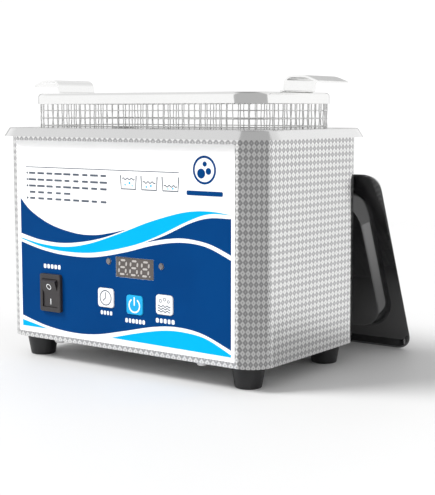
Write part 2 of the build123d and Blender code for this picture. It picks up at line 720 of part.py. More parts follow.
def switch_rocker():
    """The key: a round-ended block with a shallow vee across its face, tilted to its pressed-in side."""
    ends = Circle(ROCKER_R)
    far = 2 * ROCKER_R
    rise = math.tan(math.radians(ROCKER_TILT)) * far
    keep = make_face(Polyline((-far, -ROCKER_BACK), (far, -ROCKER_BACK), (far, ROCKER_CREASE + rise),
                              (0, ROCKER_CREASE), (-far, ROCKER_CREASE + rise), close=True))
    outline = ends & keep
    key = extrude(outline, ROCKER_W / 2, both=True)
    key += Cylinder(PIVOT_R, SWITCH_BODY_W - 0.4)
    upright = Plane(origin=(0, 0, 0), x_dir=(0, 0, 1), z_dir=(1, 0, 0))
    return Pos(SWITCH_X, PIVOT_Y, PIVOT_Z) * Rot(ROCKER_TILT, 0, 0) * (upright * key)


def terminal_places():
    """Heights of the two spade tabs at the back of the switch."""
    return [PIVOT_Z + 4.5, PIVOT_Z - 4.5]


def switch_terminals():
    y0 = FRONT + SWITCH_DEPTH
    tabs = [block(SWITCH_X - TAB_W / 2, SWITCH_X + TAB_W / 2, y0, y0 + TAB_L, z - TAB_T / 2, z + TAB_T / 2)
            for z in terminal_places()]
    return group(tabs)


# ---- Mains inlet ----
INLET_FACE = BACK + INLET_FLANGE_T


def pin_places():
    """X and Z of the live, neutral and earth pins."""
    return [(INLET_X - PIN_PITCH / 2, INLET_MID - 2.0), (INLET_X + PIN_PITCH / 2, INLET_MID - 2.0),
            (INLET_X, INLET_MID + 2.0)]


def inlet_outline(width, height, cut, y0, y1):
    """A block with its two upper corners cut off, as the inlet's socket has."""
    shape = Pos(INLET_X, (y0 + y1) / 2, INLET_MID) * Box(width, y1 - y0, height)
    top = shape.edges().filter_by(Axis.Y).group_by(Axis.Z)[-1]
    return chamfer(top, cut)


def mains_inlet():
    flange = facing(INLET_X, INLET_MID, INLET_FLANGE_W, INLET_FLANGE_H, 5.0, BACK, INLET_FACE)
    shell = inlet_outline(INLET_BODY_W, INLET_BODY_H, INLET_CHAMFER, BACK - INLET_DEPTH, BACK + 0.5)
    mouth = inlet_outline(INLET_MOUTH_W, INLET_MOUTH_H, INLET_CHAMFER, INLET_FACE - INLET_MOUTH_DEPTH,
                          INLET_FACE + 1)
    shape = flange + shell - mouth
    shape -= [rod_y(x, INLET_MID, 1.7, BACK - 5, INLET_FACE + 1) for x in inlet_screw_places()]
    shape -= [rod_y(x, INLET_MID, 3.0, INLET_FACE - 1.2, INLET_FACE + 1) for x in inlet_screw_places()]
    return shape - [pin(x, z) for x, z in pin_places()]


def pin(x, z):
    """One blade, with its tab behind the body."""
    y0 = BACK - INLET_DEPTH - TAB_L
    return block(x - PIN_W / 2, x + PIN_W / 2, y0, INLET_FACE - PIN_RECESS, z - PIN_H / 2, z + PIN_H / 2)


def inlet_pins():
    return group([pin(x, z) for x, z in pin_places()])


def inlet_screws():
    screw = pan_screw(1.5, 8.0, 2.8, 1.8)
    place = INLET_FACE - 1.2
    return group([Pos(x, place, INLET_MID) * Rot(90, 0, 0) * screw for x in inlet_screw_places()])


def inlet_nuts():
    y = BACK - SHEET
    return group([Pos(x, y, INLET_MID) * Rot(90, 0, 0) * nut(1.5, 5.5, 2.4) for x in inlet_screw_places()])


def ground_stud():
    """The earth screw, its nut and the ring terminal of the earth lead."""
    x, y = ground_place()
    bolt = Pos(x, y, FOOT_H) * pan_screw(1.9, 10.0, 3.6, 2.0)
    ring = extrude(Pos(x, y, PLATE_TOP) * (Circle(4.0) - Circle(1.95)), 0.8)
    tail = block(x + 3.5, x + 12, y - 1.6, y + 1.6, PLATE_TOP, PLATE_TOP + 0.8)
    top = Pos(x, y, PLATE_TOP + 0.8) * nut(1.9, 7.0, 3.2)
    return group([bolt, ring + tail, top])


# ---- Leads inside the housing ----
def wire_live():
    """From the inlet's live tab to the upper tab of the switch."""
    x0, z0 = pin_places()[0]
    y0 = BACK - INLET_DEPTH - TAB_L
    y1 = FRONT + SWITCH_DEPTH + TAB_L
    z1 = terminal_places()[0]
    middle = (y0 + y1) / 2
    return wire([(x0, y0, z0), (x0, y0 - 9, z0), (x0 - 3, middle + 4, z0 + 4),
                 (SWITCH_X - 3, middle - 8, z1 + 1), (SWITCH_X, y1 + 9, z1), (SWITCH_X, y1, z1)], WIRE_D)


def wire_switched():
    """From the lower tab of the switch, along the front, to the mains header."""
    y0, z0 = FRONT + SWITCH_DEPTH + TAB_L, terminal_places()[1]
    x0, x1, header_y, _, height = header_blocks()["mains"]
    x_end = (x0 + x1) / 2
    lane = FRONT + 13.5
    low = PLATE_TOP + 5
    return wire([(SWITCH_X, y0, z0), (SWITCH_X, y0 + 9, z0), (SWITCH_X + 9, y0 + 12, z0 - 6),
                 (SWITCH_X + 19, y0 + 4, z0 - 12), (SWITCH_X + 29, lane + 3, low + 1), (-6, lane, low),
                 (14, lane + 0.5, low - 0.5), (x_end - 16, lane - 1.5, low), (x_end - 4, lane - 2, low + 5),
                 (x_end, lane - 1, BOARD_Z + height / 2), (x_end, header_y, BOARD_Z + height / 2)], WIRE_D)


def wire_neutral():
    """From the inlet's neutral tab, behind the transducer, to the neutral header."""
    xp, z0 = pin_places()[1]
    y0 = BACK - INLET_DEPTH - TAB_L
    x_end, _, ya, yb, height = header_blocks()["neutral"]
    lane = (ya + yb) / 2
    return wire([(xp, y0, z0), (xp, y0 - 8, z0), (xp + 9, y0 - 11, z0 - 4), (xp + 18, y0 - 1, z0 - 10),
                 (xp + 31, lane - 1, z0 - 14), (2, lane + 0.5, z0 - 15), (x_end - 19, lane + 1, BOARD_Z - 2),
                 (x_end - 8, lane, BOARD_Z + height / 2), (x_end, lane, BOARD_Z + height / 2)], WIRE_D)


def wire_earth():
    """From the inlet's earth tab to the ring terminal on the bottom plate."""
    xp, z0 = pin_places()[2]
    y0 = BACK - INLET_DEPTH - TAB_L
    gx, gy = ground_place()
    low = PLATE_TOP + 0.5 + WIRE_D / 2
    return wire([(xp, y0, z0), (xp, y0 - 10, z0), (xp + 4, gy + 9, z0 - 11), (gx + 21, gy + 1, low + 2),
                 (gx + 12, gy, low)], WIRE_D)


def transducer_leads():
    """Two thin leads from the contact tabs to the output header."""
    x_end, _, _, _, height = header_blocks()["output"]
    x0 = RING_R + ELECTRODE_TAB
    leads = []
    for z, y in electrode_places():
        start = z + ELECTRODE_T / 2
        end = BOARD_Z + height / 2
        leads.append(wire([(x0, y, start), (x0 + 3.5, y, start), (x0 + 4.2, y + 0.5, (start + end) / 2),
                           (x_end - 3.4, y, end), (x_end, y, end)], LEAD_D))
    return group(leads)


def display_ribbon():
    """A flat cable from the display board's socket down to the ribbon header."""
    x0, x1, y0, y1, height = header_blocks()["ribbon"]
    top_y = DISPLAY_BACK + RIBBON_SOCKET_D
    top_z = BOARD_Z + RIBBON_SOCKET_LOW + RIBBON_SOCKET_H / 2
    low_y, low_z = (y0 + y1) / 2, BOARD_Z + height
    path = FilletPolyline((top_y, top_z), (low_y, top_z), (low_y, low_z), radius=2.0)
    strip = trace(path, RIBBON_T)
    return Pos((x0 + x1) / 2, 0, 0) * extrude(Plane.YZ * strip, RIBBON_W / 2, both=True)


# ---- Basket ----
def basket_band():
    """The pressed band round the basket's mouth, with its top edge turned inwards."""
    outer = slab(BASKET_W, BASKET_D, BASKET_R, BAND_LOW, BAND_TOP)
    outer = fillet(outer.faces().sort_by(Axis.Z)[-1].edges(), 1.9)
    hollow = slab(BASKET_W - 2 * BAND_T, BASKET_D - 2 * BAND_T, BASKET_R - BAND_T,
                  BAND_LOW - 1, BAND_TOP - BAND_T)
    hollow = fillet(hollow.faces().sort_by(Axis.Z)[-1].edges(), 1.1)
    mouth = slab(BASKET_W - 2 * BAND_LIP, BASKET_D - 2 * BAND_LIP, BASKET_R - BAND_LIP,
                 BAND_LOW, BAND_TOP + 1)
    return outer - hollow - mouth


def basket_mesh():
    """The woven tray as a plain thin wall of its true outer size."""
    inset = BAND_T + MESH_FIT
    w, d, r = BASKET_W - 2 * inset, BASKET_D - 2 * inset, BASKET_R - inset
    top = BAND_TOP - BAND_T - 1.2
    low = BAND_LOW - MESH_DEPTH
    outer = slab(w, d, r, low, top)
    outer = fillet(outer.faces().sort_by(Axis.Z)[0].edges(), MESH_BOTTOM_R)
    inner = slab(w - 2 * MESH_T, d - 2 * MESH_T, r - MESH_T, low + MESH_T, top + 1)
    inner = fillet(inner.faces().sort_by(Axis.Z)[0].edges(), MESH_BOTTOM_R - MESH_T)
    return outer - inner


def basket_handle(side):
    """A bent strip handle that stands on the band, steps out and arches over the rim."""
    edge = BASKET_W / 2
    rim = HALF_W + FLANGE_OVERHANG
    t = HANDLE_T / 2
    foot_z = BAND_TOP + t
    centre = FilletPolyline((edge - BAND_LIP + 0.4, foot_z), (edge - 0.4, foot_z), (edge + 0.5, foot_z + 7.0),
                            (rim + 1.1, foot_z + 7.3), (rim + HANDLE_REACH, foot_z + 4.4),
                            radius=HANDLE_BENDS)
    solid = extrude(Plane.XZ * trace(centre, HANDLE_T), HANDLE_W / 2, both=True)
    return solid if side > 0 else Rot(0, 0, 180) * solid


# ---- Lid ----
def lid_angle():
    """How far the lid leans from upright, so that its top edge stays under the tank's skirt."""
    highest = SKIRT_LOW - LID_TOP_CLEAR
    least = math.degrees(math.acos(min(1.0, highest / LID_L)))
    return max(LID_LEAN, least)


def lid_place():
    """From the lid's own frame, rim on z = 0 and top side below, to its leaning place."""
    angle = lid_angle()
    y = BACK + LID_WALL_GAP + LID_L * math.sin(math.radians(angle))
    return Pos(LID_SHIFT_X, y, 0) * Rot(90 + angle, 0, 0) * Pos(0, LID_L / 2, 0)


def lid_slope():
    """Inset for each millimetre of depth on the sloped edge."""
    return (LID_SKIRT_INSET - LID_WALL) / LID_FLANGE_DEPTH


def shrink(size, inset):
    return (size[0] - 2 * inset, size[1] - 2 * inset, size[2] - inset)


def lid_shell():
    """A moulded cover: sloped edge, flat seat for the tank's rim and a deep panel that drops into it."""
    rim = (LID_W, LID_L, LID_R)
    depth = LID_FLANGE_DEPTH + LID_WALL
    outer = flare(shrink(rim, lid_slope() * depth), rim, -depth, 0)
    outer = fillet(outer.faces().sort_by(Axis.Z)[0].edges(), 0.9)
    seat = flare(shrink(rim, LID_SKIRT_INSET), shrink(rim, LID_WALL), -LID_FLANGE_DEPTH, 0)
    panel = (LID_W - 2 * LID_PLATEAU_INSET_X, LID_L - 2 * LID_PLATEAU_INSET, LID_PLATEAU_R)
    panel_top = LID_PLATEAU_H - LID_FLANGE_DEPTH
    drop = flare(panel, shrink(panel, LID_PLATEAU_DRAFT), -LID_FLANGE_DEPTH, panel_top)
    drop = fillet(drop.faces().sort_by(Axis.Z)[-1].edges(), LID_EDGE_R)
    slant = LID_PLATEAU_DRAFT / LID_PLATEAU_H
    wall = LID_WALL * math.sqrt(1 + slant * slant)
    hole_low = shrink(panel, wall - slant * LID_WALL)
    hole_top = shrink(panel, LID_PLATEAU_DRAFT + wall - slant * LID_WALL)
    hollow = flare(hole_low, hole_top, -depth, panel_top - LID_WALL)
    shell = outer - seat + drop - hollow
    shell -= [rod_z(x, 0, 1.6, panel_top - 5, panel_top + 1) for x in grip_places()]
    return lid_place() * shell


def grip_places():
    middle = LID_GRIP_SPAN / 2 - LID_GRIP_LEG / 2
    return [-middle, middle]


def lid_handle():
    """A bar grip that stands in the lid's sunk panel, on the side away from the machine."""
    floor = LID_PLATEAU_H - LID_FLANGE_DEPTH - LID_WALL
    tip = floor - LID_GRIP_RISE
    half = LID_GRIP_SPAN / 2
    outline = make_face(Polyline((-half, floor), (4 - half, tip), (half - 4, tip), (half, floor),
                                 close=True))
    gap_low, gap_half = tip + LID_GRIP_BAR, half - LID_GRIP_LEG
    gap = make_face(Polyline((-gap_half, floor), (-gap_half + 2, gap_low), (gap_half - 2, gap_low),
                             (gap_half, floor), close=True))
    outline = fillet(outline.vertices().group_by(Axis.Y)[0], 6.0)
    shape = outline - fillet(gap.vertices().group_by(Axis.Y)[0], 4.0)
    grip = extrude(Rot(90, 0, 0) * shape, LID_GRIP_W / 2, both=True)
    grip = fillet(grip.edges().filter_by(lambda e: abs(abs(e.center().Y) - LID_GRIP_W / 2) < 0.01
                                         and e.center().Z < floor - 0.5), 1.4)
    grip -= [rod_z(x, 0, 1.3, floor - 8, floor + 1) for x in grip_places()]
    return lid_place() * grip


def lid_handle_screws():
    top = LID_PLATEAU_H - LID_FLANGE_DEPTH
    screw = Rot(180, 0, 0) * pan_screw(1.25, 8.0, 2.6, 1.6)
    return lid_place() * group([Pos(x, 0, top) * screw for x in grip_places()])


def feet():
    names = ("foot_front_left", "foot_rear_left", "foot_front_right", "foot_rear_right")
    return {name: foot(x, y) for name, (x, y) in zip(names, foot_places())}


def leds():
    return {name: led(x, z) for name, (x, z) in zip(("led_left", "led_right"), led_places())}


def buttons():
    names = ("button_time", "button_on_off", "button_degas")
    return {name: button(x, z) for name, (x, z) in zip(names, button_places())}


SINGLE_NODES = [
    housing_shell, bottom_plate, bottom_plate_screws, foot_screws, tank, tank_gasket,
    transducer_front_mass, transducer_piezo_rings, transducer_electrodes, transducer_back_mass,
    transducer_bolt,
    driver_board, driver_transformer, driver_capacitors, driver_heat_sink, driver_transistor, driver_fuse,
    driver_connectors, board_standoffs, board_screws, display_board, display_standoffs, display_module,
    tact_switches, front_overlay, switch_body, switch_rocker, switch_terminals, mains_inlet, inlet_pins,
    inlet_screws, inlet_nuts, ground_stud, wire_live, wire_switched, wire_neutral, wire_earth,
    transducer_leads, display_ribbon, basket_band, basket_mesh, lid_shell, lid_handle, lid_handle_screws,
]


def main():
    os.makedirs("parts", exist_ok=True)
    nodes = {make.__name__: make() for make in SINGLE_NODES}
    nodes.update(feet())
    nodes.update(leds())
    nodes.update(buttons())
    nodes["basket_handle_left"] = basket_handle(-1)
    nodes["basket_handle_right"] = basket_handle(1)
    for name, shape in nodes.items():
        export_step(shape, f"parts/{name}.step")
    print(len(nodes), "nodes")


main()
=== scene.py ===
import json
import math

import bmesh
import bpy
from mathutils import Matrix, Vector

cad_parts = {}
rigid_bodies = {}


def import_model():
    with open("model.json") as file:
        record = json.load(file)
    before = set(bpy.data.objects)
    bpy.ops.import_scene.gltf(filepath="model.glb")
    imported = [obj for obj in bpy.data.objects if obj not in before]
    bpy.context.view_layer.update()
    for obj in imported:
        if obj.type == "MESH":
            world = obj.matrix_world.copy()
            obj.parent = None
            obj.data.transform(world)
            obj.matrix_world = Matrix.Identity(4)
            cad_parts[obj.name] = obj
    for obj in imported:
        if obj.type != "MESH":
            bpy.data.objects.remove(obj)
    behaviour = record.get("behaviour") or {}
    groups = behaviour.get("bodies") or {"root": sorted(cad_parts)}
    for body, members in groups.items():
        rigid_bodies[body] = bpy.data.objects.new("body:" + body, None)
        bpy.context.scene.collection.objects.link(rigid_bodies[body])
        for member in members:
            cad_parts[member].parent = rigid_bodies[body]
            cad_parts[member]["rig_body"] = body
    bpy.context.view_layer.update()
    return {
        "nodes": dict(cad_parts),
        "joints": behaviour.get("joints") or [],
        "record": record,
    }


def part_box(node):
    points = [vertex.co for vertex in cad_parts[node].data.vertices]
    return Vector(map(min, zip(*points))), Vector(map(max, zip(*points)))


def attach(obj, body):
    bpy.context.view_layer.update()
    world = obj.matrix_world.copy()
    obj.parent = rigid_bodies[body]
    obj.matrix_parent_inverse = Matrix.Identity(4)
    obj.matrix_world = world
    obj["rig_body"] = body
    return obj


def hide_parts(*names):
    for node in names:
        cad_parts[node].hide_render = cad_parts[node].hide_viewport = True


MM = 0.001

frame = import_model()
record = frame["record"]
nodes = frame["nodes"]
SLOT_OF = {part["node"]: part["material_slot"] for part in record["subparts"]}
BODY_OF = {name: node["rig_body"] for name, node in nodes.items()}


# ---------------------------------------------------------------- camera, light and floor
CAMERA_AT = (0.4000, -0.5130, 0.1394)
CAMERA_TURN = 36.12
CAMERA_DIP = 6.72
CAMERA_LENS = 84.34
WALL_WHITE = 1.05
CEILING_GREY = 0.84
ZENITH_GREY = 0.30
BENCH_HALF = 4.0
CARD_STEPS = 24
CORNER_CARD = {"centre": (0.074, -0.0375, 0.0005), "turns": (-112.0, 28.0), "near": 0.024, "reach": 0.34,
               "height": 1.2, "level": 0.50}
BACK_CARD = {"centre": (0.0, 0.0, 0.0005), "turns": (95.0, 165.0), "near": 0.8, "reach": 0.9,
             "height": 0.55, "level": 0.60}
FRONT_LEFT_LAMP = {"azimuth": -140.0, "elevation": 47.0, "spread": 24.0, "strength": 2.9}


def place_camera():
    """A long lens in front, a little above the rim and to the right."""
    camera = bpy.data.cameras.new("bench_camera")
    camera.lens = CAMERA_LENS
    camera.sensor_width = 36.0
    camera.clip_start = 0.01
    holder = bpy.data.objects.new("bench_camera", camera)
    holder.location = CAMERA_AT
    holder.rotation_euler = (math.radians(90 - CAMERA_DIP), 0, math.radians(CAMERA_TURN))
    bpy.context.scene.collection.objects.link(holder)
    bpy.context.scene.camera = holder


def high_lamp(name, azimuth, elevation, spread, strength):
    """An even, wide lamp far away that lights matt things and stays out of the steel's reflections."""
    lamp = bpy.data.lights.new(name, "SUN")
    lamp.angle = math.radians(spread)
    lamp.energy = strength
    holder = bpy.data.objects.new(name, lamp)
    across, up = math.radians(azimuth), math.radians(elevation)
    source = Vector((math.cos(across) * math.cos(up), math.sin(across) * math.cos(up), math.sin(up)))
    holder.rotation_euler = source.to_track_quat("Z", "Y").to_euler()
    holder.visible_glossy = False
    bpy.context.scene.collection.objects.link(holder)


# ---------------------------------------------------------------- finishes
class Flow:
    """One varying number in a finish; arithmetic on it adds Math nodes."""

    def __init__(self, finish, socket):
        self.finish = finish
        self.socket = socket

    def __add__(self, other):
        return self.finish.sum("ADD", self, other)

    __radd__ = __add__

    def __sub__(self, other):
        return self.finish.sum("SUBTRACT", self, other)

    def __rsub__(self, other):
        return self.finish.sum("SUBTRACT", other, self)

    def __mul__(self, other):
        return self.finish.sum("MULTIPLY", self, other)

    __rmul__ = __mul__

    def __truediv__(self, other):
        return self.finish.sum("DIVIDE", self, other)



class Finish:
    """A procedural surface, made from nodes on the piece's own coordinates."""

    def __init__(self, name):
        self.material = bpy.data.materials.new(name)
        self.material.use_nodes = True
        self.tree = self.material.node_tree
        self.tree.nodes.clear()
        self.shader = self.tree.nodes.new("ShaderNodeBsdfPrincipled")
        out = self.tree.nodes.new("ShaderNodeOutputMaterial")
        self.tree.links.new(self.shader.outputs[0], out.inputs["Surface"])

    def plug(self, socket, value):
        """Links a varying value to a socket, or sets a plain one on it."""
        if isinstance(value, Flow):
            self.tree.links.new(value.socket, socket)
        elif isinstance(value, tuple) and socket.type == "RGBA":
            socket.default_value = value + (1.0,) if len(value) == 3 else value
        else:
            socket.default_value = value

    def node(self, kind, settings=None, inputs=None, output=0):
        """Any node: its settings first, then what its sockets get; gives one output."""
        made = self.tree.nodes.new(kind)
        for key, value in (settings or {}).items():
            setattr(made, key, value)
        for key, value in (inputs or {}).items():
            self.plug(made.inputs[key], value)
        return Flow(self, made.outputs[output])

    def sum(self, operation, *values):
        """A Math node on plain or varying numbers."""
        return self.node("ShaderNodeMath", {"operation": operation}, dict(enumerate(values)))

    def step(self, value, low, high, start=0.0, end=1.0):
        """A soft change from start to end as the value goes from low to high."""
        limits = {"Value": value, "From Min": low, "From Max": high, "To Min": start, "To Max": end}
        return self.node("ShaderNodeMapRange", {"interpolation_type": "SMOOTHSTEP"}, limits)

    def place(self):
        """The piece's own coordinates."""
        return self.node("ShaderNodeTexCoord", output="Object")

    def axes(self, vector=None):
        """The three parts of a vector, or of the piece's own coordinates."""
        spread = self.tree.nodes.new("ShaderNodeSeparateXYZ")
        self.plug(spread.inputs[0], vector or self.place())
        return [Flow(self, spread.outputs[i]) for i in range(3)]

    def noise(self, scale, detail=3.0, stretch=(1, 1, 1), roughness=0.5):
        """Noise on the piece's own coordinates, drawn out along any axis."""
        vector = self.node("ShaderNodeMapping", None, {"Vector": self.place(), "Scale": stretch})
        return self.node("ShaderNodeTexNoise", None, {
            "Vector": vector, "Scale": scale, "Detail": detail, "Roughness": roughness})

    def blend(self, amount, first, second):
        """A colour between two others."""
        made = self.tree.nodes.new("ShaderNodeMix")
        made.data_type = "RGBA"
        for index, value in ((0, amount), (6, first), (7, second)):
            self.plug(made.inputs[index], value)
        return Flow(self, made.outputs[2])

    def bump(self, height, strength, distance):
        """A normal that leans with a height."""
        return self.node("ShaderNodeBump", None, {
            "Height": height, "Strength": strength, "Distance": distance})

    def wear(self, **sockets):
        """Sets the shader's sockets: plain numbers on the socket, varying ones by a link."""
        for key, value in sockets.items():
            self.plug(self.shader.inputs[key.replace("_", " ")], value)
        return self.material


class Room(Finish):
    """The white studio around the machine, as a world."""

    def __init__(self, name):
        self.world = bpy.data.worlds.new(name)
        self.world.use_nodes = True
        self.tree = self.world.node_tree
        self.tree.nodes.clear()


def white_room():
    """White walls and a greyer ceiling."""
    room = Room("white_room")
    z = room.axes(room.node("ShaderNodeTexCoord", output="Generated"))[2]
    wall = room.step(z, 0.35, 0.72, WALL_WHITE, CEILING_GREY)
    wall = wall - room.step(z, 0.84, 0.96, 0.0, CEILING_GREY - ZENITH_GREY)
    back = room.node("ShaderNodeBackground", None, {"Color": (1.0, 1.0, 1.0), "Strength": wall})
    out = room.tree.nodes.new("ShaderNodeOutputWorld")
    room.tree.links.new(back.socket, out.inputs[0])
    bpy.context.scene.world = room.world


DIAMOND_PITCH = 102.0 / 28.0


def embossed_sheet():
    """Stainless sheet rolled with a fine checker of raised diamonds, each with a small dimple. The light
    raised and dark sunk diamonds are painted reflection, the darker dimples and diamond edges are painted
    shade, and the bright studs are a painted highlight.
    """
    sheet = Finish("embossed_sheet")
    pitch = DIAMOND_PITCH * MM
    x, y, z = sheet.axes()
    side = sheet.sum("SIGN", x)
    across = (x + side * y) / pitch
    up = z / pitch
    off_a = sheet.sum("ABSOLUTE", sheet.sum("FRACT", across) - 0.5)
    off_b = sheet.sum("ABSOLUTE", sheet.sum("FRACT", up) - 0.5)
    lattice = off_a + off_b
    raised = sheet.step(lattice, 0.38, 0.62, 1.0, 0.0)
    ridge = sheet.step(sheet.sum("ABSOLUTE", lattice - 0.5), 0.0, 0.12, 1.0, 0.0)
    middle = sheet.sum("SQRT", off_a * off_a + off_b * off_b)
    dimple = sheet.step(middle, 0.08, 0.17, 1.0, 0.0)
    corner_a = 0.5 - off_a
    corner_b = 0.5 - off_b
    from_crossing = sheet.sum("SQRT", corner_a * corner_a + corner_b * corner_b)
    stud = sheet.step(from_crossing, 0.07, 0.16, 1.0, 0.0)
    grain = sheet.noise(900.0, 2.0)
    cloud = sheet.noise(22.0, 3.0)
    # Painted reflection: the raised diamonds get a light colour and the sunk ones a dark colour, standing in
    # for how the facets catch the light.
    light = sheet.blend(cloud, (0.80, 0.80, 0.80), (0.88, 0.88, 0.87))
    dark = sheet.blend(grain, (0.36, 0.36, 0.37), (0.46, 0.46, 0.46))
    colour = sheet.blend(raised, dark, light)
    # Painted shade: the dimple in each raised diamond is darkened.
    colour = sheet.blend(dimple * 0.55, colour, (0.36, 0.36, 0.37))
    # Painted highlight: the stud in the middle of each sunk diamond is lightened.
    colour = sheet.blend(stud * 0.45, colour, (0.85, 0.85, 0.85))
    # Painted shade: thin darker lines along the diamonds' edges, where raised meets sunk.
    colour = sheet.blend(ridge * 0.25, colour, (0.42, 0.42, 0.43))
    height = raised - dimple * 0.6 + stud * 0.4 + grain * 0.05
    rough = 0.13 + grain * 0.05 + dimple * 0.1
    return sheet.wear(Base_Color=colour, Metallic=1.0, Roughness=rough,
                      Normal=sheet.bump(height, 0.25, 0.00012))


def drawn_steel(name, light, dark, rough, streak=(1, 1, 1), bump=0.04):
    """Bright pressed steel: fine streaks, faint clouding and a few handling marks."""
    steel = Finish(name)
    lines = steel.noise(650.0, 4.0, streak)
    cloud = steel.noise(18.0, 3.0)
    marks = steel.step(steel.noise(70.0, 6.0, (1, 1, 3)), 0.62, 0.72)
    colour = steel.blend(cloud, dark, light)
    finish = rough + lines * 0.05 + cloud * 0.05 + marks * 0.08
    return steel.wear(Base_Color=colour, Metallic=1.0, Roughness=finish,
                      Normal=steel.bump(lines + marks * 0.4, bump, 0.0001))


def moulded(name, colour, shade, rough, grain=1400.0, bump=0.05, metallic=0.0, coat=0.0,
            depth=0.00008, swirl=30.0, mirror=0.5):
    """A moulded, printed or cast surface: two near tones, a fine grain and small dents."""
    skin = Finish(name)
    fine = skin.noise(grain, 3.0)
    broad = skin.noise(swirl, 3.0)
    tone = skin.blend(skin.step(broad, 0.3, 0.7), colour, shade)
    finish = rough + fine * 0.06 + broad * 0.05
    material = skin.wear(Base_Color=tone, Metallic=metallic, Roughness=finish,
                         Normal=skin.bump(fine, bump, depth), Specular_IOR_Level=mirror)
    if coat:
        skin.wear(Coat_Weight=coat, Coat_Roughness=0.03, Coat_IOR=1.5 + 0.4 * coat)
    return material


def smoked_window():
    """The tinted display lens: brown-grey, glossy, with a faint sparkle of the diffuser behind."""
    lens = Finish("smoked_window")
    speck = lens.noise(2200.0, 2.0)
    broad = lens.noise(60.0, 2.0)
    tone = lens.blend(lens.step(broad, 0.2, 0.8), (0.045, 0.034, 0.029), (0.060, 0.046, 0.040))
    tone = lens.blend(speck * 0.2, tone, (0.15, 0.13, 0.12))
    return lens.wear(Base_Color=tone, Roughness=0.22 + speck * 0.08, Coat_Weight=0.8,
                     Coat_Roughness=0.04, Normal=lens.bump(speck, 0.02, 0.00005))


def ringed_rubber():
    """Soft black rubber with faint turning rings and dust."""
    rubber = Finish("foot_rubber")
    rings = rubber.sum("SINE", rubber.axes()[2] * 9000.0)
    dust = rubber.step(rubber.noise(160.0, 4.0), 0.55, 0.75)
    fine = rubber.noise(1500.0, 3.0)
    tone = rubber.blend(dust * 0.3, (0.006, 0.006, 0.007), (0.030, 0.030, 0.032))
    return rubber.wear(Base_Color=tone, Roughness=0.38 + fine * 0.15,
                       Normal=rubber.bump(fine + rings * 0.15, 0.12, 0.0001))


def fibre_board(name, colour, shade):
    """Circuit board: solder mask over a glass weave, with faint traces."""
    board = Finish(name)
    x, y, z = board.axes()
    weave = board.sum("SINE", x * 6500.0) * board.sum("SINE", y * 6500.0)
    trace = board.step(board.sum("FRACT", (x + z) * 190.0), 0.30, 0.36) * board.step(
        board.sum("FRACT", y * 95.0), 0.5, 0.56)
    tone = board.blend(trace * 0.5, colour, shade)
    return board.wear(Base_Color=tone, Roughness=0.35 + weave * 0.04, Coat_Weight=0.4,
                      Coat_Roughness=0.15, Normal=board.bump(weave * 0.3 + trace, 0.15, 0.0001))


def floor_finish():
    """A plain pale bench top with the faintest mottling."""
    bench = Finish("pale_bench")
    mottle = bench.noise(6.0, 3.0)
    tone = bench.blend(mottle, (0.71, 0.71, 0.71), (0.74, 0.74, 0.74))
    return bench.wear(Base_Color=tone, Roughness=0.55 + mottle * 0.1,
                      Normal=bench.bump(bench.noise(400.0), 0.02, 0.0002))


